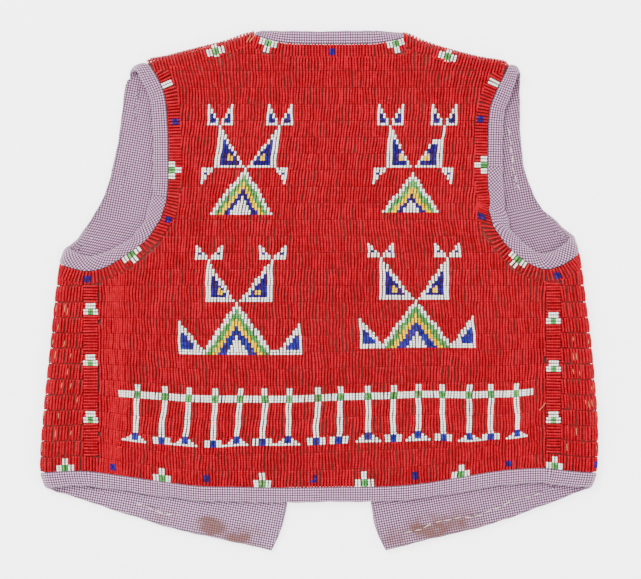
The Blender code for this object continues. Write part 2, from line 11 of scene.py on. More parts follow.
import bmesh
import bpy
import numpy as np
from mathutils.geometry import delaunay_2d_cdt
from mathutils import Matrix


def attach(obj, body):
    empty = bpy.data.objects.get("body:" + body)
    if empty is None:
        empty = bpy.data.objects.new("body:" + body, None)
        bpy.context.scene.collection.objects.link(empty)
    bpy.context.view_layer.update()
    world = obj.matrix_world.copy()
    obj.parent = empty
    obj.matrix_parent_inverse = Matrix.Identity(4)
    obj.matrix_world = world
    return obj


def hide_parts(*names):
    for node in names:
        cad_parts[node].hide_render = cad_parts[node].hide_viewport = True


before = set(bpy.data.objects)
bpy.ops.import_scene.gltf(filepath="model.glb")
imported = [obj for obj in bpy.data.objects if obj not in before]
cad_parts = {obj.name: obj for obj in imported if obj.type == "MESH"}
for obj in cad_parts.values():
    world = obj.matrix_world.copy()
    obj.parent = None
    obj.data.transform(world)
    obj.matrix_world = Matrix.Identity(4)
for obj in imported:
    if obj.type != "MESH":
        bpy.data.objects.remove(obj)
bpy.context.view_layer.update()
chance = np.random.default_rng(7)

MILLIMETRE = 0.001
SIDES = ((-1, "left"), (1, "right"))

# Thicknesses and gaps of the cloth
HIDE = 3.0
HIDE_TOP = 1.3
LINING = 1.0
SEAM = 0.3
BENT_SEAM = 0.5
RIM = HIDE + SEAM + LINING
FLAT_TOP = RIM + SEAM + HIDE

# Lanes of beads, and the border lane along each edge
LANE = 9.9
BORDER = 8.4
FIRST_LANE = 141.75
STRAIGHT_LANES = 15
SAGGING_LANES = 11
BEADS = 7
BORDER_BEADS = 6
PITCH = 1.8

# Bindings and side strips
BINDING = 9.0
SHOULDER_BINDING = {-1: 9.6, 1: 7.0}
OVER_SHOULDER = (1.1, 1.0, 0.93, 0.86, 0.8, 0.74)
TURN_IN = 22.0
STRIP_INNER = {-1: 132.6, 1: 136.2}
STRIP_OUTER = {-1: 141.0, 1: 144.6}

# Linings: the reach at which they start in the side folds, how far short of a free edge they stop, how
# far up they go under the shoulders, and the tip of each there, across and along
LINING_START = 11.3
LINING_SHORT = 0.7
LINING_UP = 1.5
LINING_TIP = {-1: (-115.4, 128.5), 1: (120.4, 129.5)}

# The bends
BEND = 6.5
BEND_LENGTH = 18.8
LIFT_REACH = 48.0
SHOULDER_BEND = 6.0
SHOULDER_LENGTH = 17.0
SHOULDER_HEIGHT = 10.6
SHOULDER_REACH = 32.0
SHOULDER_UNDER = 1.2
SHOULDER_LANE = -3.5

# Along, and how far out the side fold reaches there
SIDE_FOLD = {
    -1: [(-119.5, 165.0), (-107.5, 167.4), (-77.5, 165.8), (-53.5, 163.4), (-29.5, 160.9), (-5.5, 158.5),
         (18.5, 155.4), (25.0, 153.0), (30.5, 149.5), (36.5, 147.0), (42.5, 144.5)],
    1: [(-119.5, 164.2), (-107.5, 167.0), (-77.5, 167.2), (-53.5, 165.4), (-29.5, 163.2), (-5.5, 160.2),
        (18.5, 157.2), (24.5, 155.8), (33.0, 153.6), (38.0, 150.5), (42.5, 147.5), (48.5, 142.1)],
}

# Along, and the height of the side fold there
FOLD_HEIGHT = [
    (-119.5, 9.4), (-100.0, 10.2), (-55.0, 11.2), (0.0, 10.6), (22.0, 9.8), (44.0, 8.2), (60.0, FLAT_TOP),
]

# Across, and how far up the shoulder fold or the neck reaches there
SHOULDER_FOLD = [
    (-116.0, 130.5), (-112.4, 134.1), (-109.0, 136.0), (-104.6, 137.7), (-100.7, 139.8), (-92.9, 141.2),
    (-77.4, 145.2), (-56.4, 150.6), (-45.1, 154.6), (-38.4, 155.8), (-34.0, 156.5), (0.0, 155.9),
    (30.6, 156.4), (48.4, 155.6), (55.3, 154.3), (61.0, 151.5), (70.8, 147.8), (88.0, 142.9),
    (99.5, 140.3), (111.0, 138.4), (114.4, 136.6), (119.0, 134.8), (122.0, 131.0),
]

# Across, and how much of the full bend the cloth takes there
CURL = [(-44.0, 1.0), (-35.0, 0.35), (46.0, 0.35), (54.0, 1.0)]

# Across, and how steeply the shoulder rises there, where strings of beads stand square to it
SHOULDER_RISE = [(-62.0, 0.28), (-38.0, 0.0), (50.0, 0.0), (70.0, -0.28)]
SQUARE_REACH = 28.0

# Across and along: the beaded edge at the hem and at the back of the neck
HEM_EDGE = [
    (-165.8, -109.4), (-151.8, -108.2), (-137.4, -108.4), (-114.6, -111.6), (-97.8, -114.0), (-72.6, -117.2),
    (-47.4, -117.8), (-21.0, -118.3), (9.6, -117.9), (40.2, -117.5), (60.0, -116.0), (82.2, -112.4),
    (107.4, -108.2), (132.6, -106.4), (149.4, -107.9), (166.2, -109.4),
]
NECK_EDGE = [
    (-38.4, 153.2), (-35.9, 152.4), (-30.7, 150.8), (-22.3, 148.9), (-12.0, 148.1),
    (30.6, 148.1), (38.0, 148.9), (45.5, 150.3), (50.7, 151.6),
]

# Across and along, shoulder to side: the beaded edge of each armhole on the upper layer
ARMHOLE_EDGE = {
    -1: [(-104.4, 137.0), (-102.0, 135.4), (-97.7, 129.2), (-92.9, 118.1), (-91.1, 102.0), (-90.6, 84.5),
         (-91.2, 57.5), (-95.4, 42.5), (-107.4, 27.5), (-125.4, 15.5), (-137.4, 11.9), (-148.0, 13.6)],
    1: [(114.3, 136.0), (111.0, 129.1), (107.5, 122.2), (102.6, 108.5), (101.4, 84.5), (101.5, 66.0),
        (102.4, 50.3), (104.6, 39.5), (110.2, 30.6), (119.1, 21.5), (127.0, 15.9), (135.6, 13.0),
        (144.6, 15.0), (150.0, 18.0)],
}
ARMHOLE_AT_FOLD = {-1: 17.3, 1: 24.0}

# Across and along, fold to shoulder: the free edge of each front's armhole on the lower layer
FRONT_ARMHOLE = {
    -1: [(-130.8, 54.5), (-126.6, 66.5), (-123.6, 78.5), (-121.2, 90.5), (-119.4, 102.5), (-118.2, 114.5),
         (-116.6, 124.5)],
    1: [(131.4, 54.5), (126.0, 66.5), (123.0, 78.5), (121.8, 90.5), (121.2, 102.5), (121.2, 114.5),
        (121.2, 125.5)],
}
# Share of the bend and along, where that free edge comes round the fold
FRONT_ARMHOLE_BEND = {
    -1: [(0.5, 26.0), (0.75, 30.8), (0.9, 36.5), (1.0, 42.5)],
    1: [(0.5, 33.0), (0.75, 38.0), (0.9, 42.5), (1.0, 48.5)],
}

# Across and along, fold to centre: the free lower edge of each front, then its centre edge and neckline
FRONT_HEM = {
    -1: [(-158.5, -121.3), (-143.4, -125.6), (-126.0, -131.6), (-106.8, -137.6), (-88.2, -143.4),
         (-59.4, -149.8), (-28.4, -156.6)],
    1: [(157.6, -120.8), (145.8, -125.6), (129.6, -131.6), (113.4, -137.6), (93.6, -143.6),
        (67.8, -149.6), (39.6, -156.8)],
}
FRONT_CENTRE = {
    -1: [(-28.4, -156.6), (-22.6, -143.6), (-19.2, -128.0), (-14.0, -60.0), (-7.0, 10.0), (-2.0, 70.0)],
    1: [(39.6, -156.8), (34.2, -143.6), (31.2, -128.0), (26.0, -60.0), (19.0, 10.0), (14.0, 70.0)],
}
FRONT_NECK = {
    -1: [(-2.0, 70.0), (-9.0, 92.0), (-20.0, 116.0), (-32.0, 138.0), (-38.0, 147.4)],
    1: [(14.0, 70.0), (21.0, 92.0), (32.0, 116.0), (44.0, 136.0), (50.0, 145.4)],
}
FOLD_HEM = -118.5
HEM_TURN_X = 167.0

# How strings of beads lean: rows of along, and the shift across on the left and on the right of the back
LEAN = {
    -1: [(-115.0, -5.4), (-90.0, -5.4), (-62.0, -3.4), (-37.0, -4.2), (-6.0, -4.4), (23.0, -3.0),
         (46.0, -2.0), (74.0, 0.9), (105.0, 3.8), (140.0, 4.4)],
    1: [(-115.0, 1.4), (-90.0, 1.5), (-62.0, 1.2), (-37.0, 1.7), (-6.0, 0.4), (23.0, -0.3),
        (46.0, -2.6), (74.0, -1.0), (105.0, 1.3), (140.0, 2.0)],
}
LEAN_LEFT = -60.0
LEAN_RIGHT = 75.0

# Lanes counted down to the rail of the fence and to the feet of its posts, and rows of across and of how
# far the lanes bow there from an even sag
RAIL_LANE = 20.8
RAIL_BOW = [
    (-140.0, 0.0), (-109.0, 0.0), (-16.0, 0.4), (14.0, 1.5), (45.0, 2.1), (60.0, 2.1), (75.0, 0.7),
    (89.0, -0.8), (103.0, -1.7), (118.0, -2.1), (140.0, 0.0),
]
FEET_LANE = 23.3
FEET_BOW = [
    (-140.0, 0.0), (-109.0, -2.1), (-93.0, -1.4), (-62.0, -1.0), (-46.0, 0.2), (0.0, 1.1), (14.0, 1.8),
    (29.0, 2.5), (60.0, 2.0), (75.0, 0.0), (89.0, -2.9), (103.0, -3.4), (118.0, -4.1), (140.0, 0.0),
]

# Colours of beads, in the order of their material slots
RED, WHITE, GREEN, YELLOW, NAVY, BLUE = range(6)


def follow(rows, at):
    """Values at places on a smooth line through rows of place and value, level past both ends."""
    table = np.asarray(rows, float)
    places, values = table[:, 0], table[:, 1]
    last = len(places) - 1
    at = np.clip(np.asarray(at, float), places[0], places[-1])
    before = np.maximum(np.arange(last + 1) - 1, 0)
    after = np.minimum(np.arange(last + 1) + 1, last)
    slopes = (values[after] - values[before]) / (places[after] - places[before])
    low = np.clip(np.searchsorted(places, at, side="right") - 1, 0, last - 1)
    span = places[low + 1] - places[low]
    share = (at - places[low]) / span
    rise = (3 - 2 * share) * share ** 2
    leave = share * (1 - share) ** 2 * span
    arrive = share ** 2 * (1 - share) * span
    level = values[low] + (values[low + 1] - values[low]) * rise
    return level + slopes[low] * leave - slopes[low + 1] * arrive


def ease(share):
    """A soft step from 0 to 1."""
    share = np.clip(share, 0.0, 1.0)
    return share * share * (3 - 2 * share)


def distances(path):
    """How far each point of a path lies along it."""
    return np.concatenate([[0.0], np.cumsum(np.linalg.norm(np.diff(path, axis=0), axis=1))])


def curve(points, step):
    """Points about one step apart on a smooth curve through the given points, ends included."""
    points = np.asarray(points, float)
    places = distances(points)
    count = max(2, round(places[-1] / step))
    at = np.linspace(0.0, places[-1], count + 1)
    return np.stack([follow(np.stack([places, points[:, axis]], 1), at) for axis in (0, 1)], 1)


def joined(*lines):
    """One line from several, without the doubled points where they meet."""
    points = []
    for line in lines:
        for point in line:
            if not points or math.dist(point, points[-1]) > 0.05:
                points.append(tuple(point))
    return np.array(points)


def normals(path):
    """The direction to the left of a path at each point, lengthened at a corner so that widths stay even."""
    step = np.diff(path, axis=0)
    step /= np.linalg.norm(step, axis=1)[:, None]
    sides = np.stack([-step[:, 1], step[:, 0]], 1)
    one = np.concatenate([sides[:1], sides])
    two = np.concatenate([sides, sides[-1:]])
    middle = one + two
    middle /= np.linalg.norm(middle, axis=1)[:, None]
    return middle / (middle * one).sum(1)[:, None]


def beside(path, distance):
    """The path moved to its left by a distance."""
    return path + normals(path) * distance


def split(line, value, limit):
    """The parts of a line before and after a value along it first reaches a limit."""
    values = value(line)
    for number in range(len(line) - 1):
        low, high = values[number], values[number + 1]
        if low < limit <= high:
            crossing = line[number] + (line[number + 1] - line[number]) * (limit - low) / (high - low)
            return np.vstack([line[:number + 1], crossing]), np.vstack([crossing, line[number + 1:]])
    return line, line[:0]


def fold_start(side, along):
    """How far out the bend of the side fold starts."""
    return follow(SIDE_FOLD[side], along) - BEND


def shoulder_start(x):
    """How far up the bend over the shoulder starts."""
    return follow(SHOULDER_FOLD, x) - SHOULDER_BEND


def top_height(x, along):
    """The height of the upper layer's plain outer surface: low in the middle, higher towards each fold."""
    start = np.where(x < 0, fold_start(-1, along), fold_start(1, along))
    side_rise = (follow(FOLD_HEIGHT, along) - FLAT_TOP) * ease(1 - (start - np.abs(x)) / LIFT_REACH)
    below = shoulder_start(x) - along
    shoulder_rise = (SHOULDER_HEIGHT - FLAT_TOP) * ease(1 - below / SHOULDER_REACH)
    return FLAT_TOP + np.maximum(side_rise, shoulder_rise)


def over_top(x, along, depth, curl=None):
    """Points of the upper layer, which bends over the shoulders and, less, at the back of the neck."""
    x, along, depth = np.broadcast_arrays(x, along, depth)
    past = along - shoulder_start(x)
    flat = np.stack([x, along, top_height(x, along) - depth], -1)
    bend = np.clip(past, 0.0, SHOULDER_LENGTH)
    turn = math.pi * bend / SHOULDER_LENGTH
    half = SHOULDER_HEIGHT / 2
    curl = follow(CURL, x) if curl is None else curl
    bent_y = shoulder_start(x) + (SHOULDER_BEND - depth) * np.sin(turn) - (past - bend)
    bent_z = half + (half - depth) * np.cos(turn)
    flat_z = SHOULDER_HEIGHT - depth
    bent = np.stack([x, along + (bent_y - along) * curl, flat_z + (bent_z - flat_z) * curl], -1)
    return np.where((past <= 0)[..., None], flat, bent)


def place(side, reach, along, depth):
    """Points of the cloth from their reach and along, folded as the vest lies."""
    reach, along, depth = np.broadcast_arrays(reach, along, depth)
    start = fold_start(side, along)
    top = over_top(side * (start + reach), along, depth)
    turn = math.pi * np.clip(reach, 0.0, BEND_LENGTH) / BEND_LENGTH
    half = follow(FOLD_HEIGHT, along) / 2
    out = np.maximum(BEND - depth, 0.4) * np.sin(turn)
    up = np.maximum(half - depth, 0.25) * np.cos(turn)
    bent = np.stack([side * (start + out), along, half + up], -1)
    low = np.stack([side * (start - (reach - BEND_LENGTH)), along, depth], -1)
    return np.where((reach <= 0)[..., None], top, np.where((reach >= BEND_LENGTH)[..., None], low, bent))


def in_frame(side, line):
    """Where unfolded points of the outer surface lie in the frame, across and along."""
    return place(side, line[:, 0], line[:, 1], 0.0)[:, :2]


def unfold_top(side, points):
    """Reach and along of points of the upper layer."""
    points = np.asarray(points, float)
    return np.stack([np.abs(points[:, 0]) - fold_start(side, points[:, 1]), points[:, 1]], 1)


def unfold_bottom(side, points):
    """Reach and along of points of the lower layer."""
    points = np.asarray(points, float)
    return np.stack([BEND_LENGTH + fold_start(side, points[:, 1]) - np.abs(points[:, 0]), points[:, 1]], 1)


def lane_line(number, x):
    """How far along a lane boundary, or a place between two, lies."""
    sag_start = FIRST_LANE - LANE * STRAIGHT_LANES
    sagging = sag_start - (sag_start - follow(HEM_EDGE, x)) * (number - STRAIGHT_LANES) / SAGGING_LANES
    to_rail = np.clip((number - STRAIGHT_LANES) / (RAIL_LANE - STRAIGHT_LANES), 0.0, 1.0)
    to_feet = np.clip((number - RAIL_LANE) / (FEET_LANE - RAIL_LANE), 0.0, 1.0)
    to_hem = np.clip((number - FEET_LANE) / (STRAIGHT_LANES + SAGGING_LANES - FEET_LANE), 0.0, 1.0)
    sagging = sagging + follow(RAIL_BOW, x) * to_rail * (1 - to_feet)
    sagging = sagging + follow(FEET_BOW, x) * to_feet * (1 - to_hem)
    return np.where(number <= STRAIGHT_LANES, FIRST_LANE - LANE * number, sagging)


def gap_to(line, points):
    """Distances from points to a line of points."""
    best = np.full(points.shape[:-1], 1e9)
    for start, end in zip(line, line[1:]):
        run = end - start
        share = np.clip(((points - start) * run).sum(-1) / (run * run).sum(), 0.0, 1.0)
        best = np.minimum(best, np.linalg.norm(points - start - run * share[..., None], axis=-1))
    return best


def within(outline, points):
    """Which points lie inside a closed outline."""
    inside = np.zeros(len(points), bool)
    for start, end in zip(outline, np.roll(outline, -1, axis=0)):
        rise = end[1] - start[1]
        if rise == 0:
            continue
        crosses = (start[1] > points[:, 1]) != (end[1] > points[:, 1])
        at = start[0] + (points[:, 1] - start[1]) * (end[0] - start[0]) / rise
        inside ^= crosses & (points[:, 0] < at)
    return inside


def out_from_middle(side):
    """A function that gives how far from the middle of the body unfolded points of the upper layer lie."""
    return lambda line: fold_start(side, line[:, 1]) + line[:, 0]


def armhole_path(side, step):
    """The beaded edge round an armhole, unfolded: down the back, round the side fold, up the front."""
    top = unfold_top(side, ARMHOLE_EDGE[side])
    turn = np.array([[BEND_LENGTH / 2, ARMHOLE_AT_FOLD[side]]])
    bend = np.array([(share * BEND_LENGTH, along) for share, along in FRONT_ARMHOLE_BEND[side]])
    free = np.vstack([bend, unfold_bottom(side, FRONT_ARMHOLE[side])])
    under = beside(curve(free, 8.0), -BINDING)
    return curve(np.vstack([top, turn, under[under[:, 0] > 0.7 * BEND_LENGTH]]), step)


def front_path(side, inset=0.0):
    """The beaded edge of a front, unfolded: from the fold along the hem, up the centre and round the neck."""
    turn = np.array([[BEND_LENGTH / 2, FOLD_HEM], [BEND_LENGTH * 0.75, FOLD_HEM - 1.2]])
    lower = unfold_bottom(side, FRONT_HEM[side])
    hem = joined(curve(np.vstack([turn, lower[:1]]), 2.0), curve(lower, 2.5))
    centre = curve(unfold_bottom(side, FRONT_CENTRE[side]), 3.0)
    neck = curve(unfold_bottom(side, FRONT_NECK[side]), 6.0)
    free = joined(hem, centre, neck)
    moved = beside(free, BINDING + inset)
    return moved[gap_to(free, moved) > BINDING + inset - 0.1]


def shoulder_line(first, last, under):
    """The edge below a shoulder, across from one place to another, so far under its bend."""
    places = np.linspace(first, last, max(3, round(abs(last - first) / 8)))
    return np.stack([places, shoulder_start(places) - under], 1)


def wave(x, y, rows):
    """A sum of soft waves, from rows of height, wave lengths across and along, and phase."""
    total = 0.0
    for height, across, along, phase in rows:
        total = total + height * np.sin(2 * math.pi * (x / across + y / along) + phase)
    return total


# Small node graphs for materials
class Look:
    """A material and short calls that add nodes to it."""

    def __init__(self, name, roughness):
        self.material = bpy.data.materials.new(name)
        self.material.use_nodes = True
        self.tree = self.material.node_tree
        self.shader = self.tree.nodes["Principled BSDF"]
        self.shader.inputs["Roughness"].default_value = roughness

    def feed(self, socket, source):
        if isinstance(source, bpy.types.NodeSocket):
            self.tree.links.new(source, socket)
        else:
            socket.default_value = source

    def math(self, operation, first, second=0.0, third=0.0):
        node = self.tree.nodes.new("ShaderNodeMath")
        node.operation = operation
        for socket, source in zip(node.inputs, (first, second, third)):
            self.feed(socket, source)
        return node.outputs[0]

    def vector(self, operation, first, second=(0.0, 0.0, 0.0), output=0):
        node = self.tree.nodes.new("ShaderNodeVectorMath")
        node.operation = operation
        self.feed(node.inputs[0], first)
        self.feed(node.inputs[1], second)
        return node.outputs[output]

    def uv(self, layer):
        node = self.tree.nodes.new("ShaderNodeUVMap")
        node.uv_map = layer
        return node.outputs[0]

    def spot(self):
        return self.tree.nodes.new("ShaderNodeTexCoord").outputs["Object"]

    def parts(self, vector):
        node = self.tree.nodes.new("ShaderNodeSeparateXYZ")
        self.feed(node.inputs[0], vector)
        return node.outputs

    def noise(self, vector, scale, detail=2.0):
        node = self.tree.nodes.new("ShaderNodeTexNoise")
        self.feed(node.inputs["Vector"], vector)
        node.inputs["Scale"].default_value = scale
        node.inputs["Detail"].default_value = detail
        return node.outputs[0]

    def dice(self, vector):
        node = self.tree.nodes.new("ShaderNodeTexWhiteNoise")
        node.noise_dimensions = "2D"
        self.feed(node.inputs["Vector"], vector)
        return node.outputs[0]

    def ramp(self, factor, stops):
        node = self.tree.nodes.new("ShaderNodeValToRGB")
        self.feed(node.inputs[0], factor)
        marks = node.color_ramp.elements
        while len(marks) < len(stops):
            marks.new(0.5)
        for mark, (position, colour) in zip(marks, stops):
            mark.position = position
            mark.color = (*colour, 1.0)
        return node.outputs[0]

    def blend(self, factor, first, second, mode="MIX"):
        node = self.tree.nodes.new("ShaderNodeMix")
        node.data_type = "RGBA"
        node.blend_type = mode
        self.feed(node.inputs[0], factor)
        self.feed(node.inputs[6], first if not isinstance(first, tuple) else (*first, 1.0))
        self.feed(node.inputs[7], second if not isinstance(second, tuple) else (*second, 1.0))
        return node.outputs[2]

    def span(self, value, low, high, to_low=0.0, to_high=1.0):
        node = self.tree.nodes.new("ShaderNodeMapRange")
        for socket, source in zip(node.inputs, (value, low, high, to_low, to_high)):
            self.feed(socket, source)
        return node.outputs[0]

    def bump(self, height, distance, strength=1.0):
        node = self.tree.nodes.new("ShaderNodeBump")
        self.feed(node.inputs["Height"], height)
        node.inputs["Distance"].default_value = distance
        node.inputs["Strength"].default_value = strength
        self.feed(self.shader.inputs["Normal"], node.outputs[0])

    def finish(self, colour, roughness=None):
        self.feed(self.shader.inputs["Base Color"], colour)
        if roughness is not None:
            self.feed(self.shader.inputs["Roughness"], roughness)
        return self.material


def linear(red, green, blue):
    """A colour in linear light from screen values of 0 to 255."""
    def channel(value):
        value /= 255
        return value / 12.92 if value <= 0.04045 else ((value + 0.055) / 1.055) ** 2.4
    return (channel(red), channel(green), channel(blue))


def scaled(share, colour):
    """A colour darkened to a share of itself."""
    return tuple(share * value for value in colour)


def bead_look(name, shades, roughness, shadow):
    """Opaque glass beads: each a shade of its own, with painted shade darkening its holes and flanks where
    neighbours meet, glossy, faintly uneven.
    """
    look = Look(name, roughness)
    dark, middle, light = (linear(*shade) for shade in shades)
    cells = look.uv("cells")
    shade = look.dice(look.vector("FLOOR", cells))
    string_shade = look.dice(look.vector("FLOOR", look.vector("MULTIPLY", cells, (1.0, 1 / BEADS, 0.0))))
    tone = look.math("MULTIPLY_ADD", shade, 0.6, look.math("MULTIPLY", string_shade, 0.4))
    colour = look.ramp(tone, [(0.15, dark), (0.5, middle), (0.9, light)])
    inside = look.parts(look.vector("FRACTION", cells))
    off_middle = look.math("ABSOLUTE", look.math("SUBTRACT", inside[1], 0.5))
    off_crown = look.math("ABSOLUTE", look.math("SUBTRACT", inside[0], 0.5))
    # Painted shade: darker towards each bead's ends and the string's flanks, where neighbouring beads and
    # strings shade it
    gap_shade = look.math("MAXIMUM", look.span(off_middle, 0.32, 0.47), look.span(off_crown, 0.11, 0.34))
    colour = look.blend(look.math("MULTIPLY", gap_shade, shadow), colour, scaled(0.2, dark))
    grime = look.span(look.noise(look.spot(), 55.0, 4.0), 0.5, 0.75, 0.0, 0.22)
    colour = look.blend(grime, colour, scaled(0.55, dark))
    look.bump(look.noise(look.spot(), 1400.0, 2.0), 0.00006)
    gloss = look.span(look.noise(look.spot(), 420.0, 2.0), 0.3, 0.7, roughness - 0.08, roughness + 0.14)
    look.shader.inputs["Specular IOR Level"].default_value = 0.05
    return look.finish(colour, gloss)


def hide_look(name, shades):
    """Tanned hide with a soft nap, fine grain and darker patches from wear."""
    look = Look(name, 0.9)
    dark, middle, light = (linear(*shade) for shade in shades)
    spot = look.spot()
    patches = look.noise(spot, 26.0, 4.0)
    colour = look.ramp(patches, [(0.3, dark), (0.55, middle), (0.8, light)])
    nap = look.noise(spot, 900.0, 3.0)
    colour = look.blend(look.span(nap, 0.35, 0.65, 0.0, 0.35), colour, scaled(0.6, dark))
    look.bump(nap, 0.0002)
    look.shader.inputs["Sheen Weight"].default_value = 0.25
    return look.finish(colour, look.span(nap, 0.3, 0.7, 0.82, 0.97))


# Wave lengths of the check and of its single threads, in millimetres
CHECK = 1.45
THREAD = 0.29


def gingham_look(name, tint, armhole_shade, stains=()):
    """Small woven check of lilac and white cotton, soft from wear, with painted shade growing upwards towards
    the armholes, and with stains.
    """
    def tinted(*colour):
        return tuple(part * value for part, value in zip(tint, linear(*colour)))

    look = Look(name, 0.9)
    weave = look.uv("weave")
    across, along, _ = look.parts(weave)
    tones = []
    for thread in (across, along):
        swing = look.math("SINE", look.math("MULTIPLY", thread, 2 * math.pi / CHECK))
        tones.append(look.span(swing, -0.45, 0.45))
    tone = look.math("MULTIPLY", look.math("ADD", tones[0], tones[1]), 0.5)
    dark, middle, light = tinted(18, 0, 20), tinted(112, 64, 102), tinted(236, 206, 230)
    colour = look.ramp(tone, [(0.0, light), (0.5, middle), (1.0, dark)])
    ribs = []
    for thread in (across, along):
        ribs.append(look.math("SINE", look.math("MULTIPLY", thread, 2 * math.pi / THREAD)))
    cloth = look.math("MULTIPLY", ribs[0], ribs[1])
    spot = look.spot()
    fade = look.noise(spot, 30.0, 4.0)
    colour = look.blend(look.span(fade, 0.45, 0.75, 0.0, 0.2), colour, tinted(136, 98, 126))
    dirt = look.noise(spot, 85.0, 5.0)
    # Painted shade: darker higher up towards the armholes, stronger or weaker with the fade noise
    upper = look.span(look.parts(spot)[1], -20 * MILLIMETRE, 30 * MILLIMETRE, 0.0, armhole_shade)
    painted_shade = look.math("MULTIPLY", upper, look.span(fade, 0.3, 0.7, 1.3, 0.7))
    colour = look.blend(painted_shade, colour, tinted(92, 44, 70))
    for x, y, wide, strength in stains:
        off = look.vector("SUBTRACT", spot, (x * MILLIMETRE, y * MILLIMETRE, 0.002))
        far = look.vector("LENGTH", look.vector("MULTIPLY", off, (1.0, 1.6, 0.4)), output=1)
        near = look.span(far, wide * MILLIMETRE, 0.0, 0.0, strength)
        patch = look.math("MULTIPLY", near, look.span(dirt, 0.38, 0.62, 0.15, 1.6))
        colour = look.blend(look.math("MINIMUM", patch, 0.8), colour, linear(92, 48, 24))
    look.bump(look.math("MULTIPLY_ADD", cloth, 0.5, look.math("MULTIPLY", dirt, 1.2)), 0.00012)
    look.shader.inputs["Sheen Weight"].default_value = 0.3
    return look.finish(colour, look.span(dirt, 0.3, 0.7, 0.84, 0.98))


def thread_look(name, colour):
    """Twisted cotton or sinew."""
    look = Look(name, 0.8)
    strands = look.noise(look.spot(), 2200.0, 2.0)
    look.bump(strands, 0.00008)
    tint = look.blend(look.span(strands, 0.35, 0.7, 0.0, 0.45), colour, scaled(0.6, colour))
    return look.finish(tint, look.span(strands, 0.3, 0.7, 0.7, 0.92))


# Dark, middle and light shade of each bead on screen, its roughness, and how dark the painted shade at its
# holes and flanks is
BEAD_LOOKS = [
    bead_look("bead_red", ((141, 0, 16), (156, 0, 22), (172, 0, 28)), 0.22, 0.36),
    bead_look("bead_white", ((238, 233, 220), (251, 248, 240), (255, 253, 250)), 0.26, 0.93),
    bead_look("bead_green", ((52, 122, 56), (72, 148, 74), (104, 174, 98)), 0.28, 0.6),
    bead_look("bead_yellow", ((206, 160, 0), (236, 188, 0), (248, 204, 4)), 0.28, 0.4),
    bead_look("bead_navy", ((22, 8, 74), (30, 14, 100), (44, 30, 130)), 0.22, 0.36),
    bead_look("bead_blue", ((22, 20, 98), (31, 32, 126), (46, 50, 154)), 0.22, 0.36),
]
# Hide under the beads: its tan painted dark red-brown, painted shade where it shows between the beads and
# painted red reflection from them
HIDE_PAINTED_SHADE = hide_look("painted_shade_hide", ((84, 26, 18), (112, 36, 26), (136, 50, 36)))

# Cotton: tint and the strength of painted shade towards the armholes, and for each front its stains by
# across, along, width and strength
GINGHAM = gingham_look("gingham", (0.96, 0.88, 0.94), 0.1)
FRONT_GINGHAM = {
    -1: gingham_look(
        "gingham_left", (1.0, 0.96, 1.02), 0.26,
        [(-66.0, -141.5, 12.0, 1.7), (-46.0, -149.5, 17.0, 1.0), (-95.0, -137.0, 12.0, 0.3)],
    ),
    1: gingham_look(
        "gingham_right", (0.88, 0.8, 0.87), 0.2,
        [(66.0, -142.0, 16.0, 1.4), (86.0, -139.0, 15.0, 0.6), (46.0, -148.0, 12.0, 0.6)],
    ),
}
CREAM_THREAD = thread_look("cream_thread", linear(222, 212, 190))
SINEW = thread_look("sinew", linear(188, 128, 78))


def piece_of(name, points, faces, looks, chosen=None, layers=None, smooth=True):
    """An object from points in millimetres and faces of three or four corners, with its material and UVs."""
    mesh = bpy.data.meshes.new(name)
    faces = np.asarray(faces)
    corners = faces.shape[1]
    mesh.vertices.add(len(points))
    mesh.vertices.foreach_set("co", (np.asarray(points) * MILLIMETRE).astype(np.float32).ravel())
    mesh.loops.add(faces.size)
    mesh.loops.foreach_set("vertex_index", faces.astype(np.int32).ravel())
    mesh.polygons.add(len(faces))
    mesh.polygons.foreach_set("loop_start", np.arange(0, faces.size, corners, dtype=np.int32))
    mesh.polygons.foreach_set("use_smooth", np.full(len(faces), smooth))
    for look in looks:
        mesh.materials.append(look)
    if chosen is not None:
        mesh.polygons.foreach_set("material_index", np.asarray(chosen, np.int32))
    for layer, spots in (layers or {}).items():
        made = mesh.uv_layers.new(name=layer)
        made.uv.foreach_set("vector", np.asarray(spots, np.float32).ravel())
    mesh.update(calc_edges=True)
    mesh.validate()
    made = bpy.data.objects.new(name, mesh)
    bpy.context.scene.collection.objects.link(made)
    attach(made, "root")
    return made


# Beads: angles of the points on a ring round a string, and the part of a bead's cell that they take up
RING = np.radians([-100.0, -52.0, 0.0, 52.0, 100.0])
CELL_EDGES = (0.06, 0.94)
CELL_MARGIN = 0.004
LOWEST_BEAD = 0.02


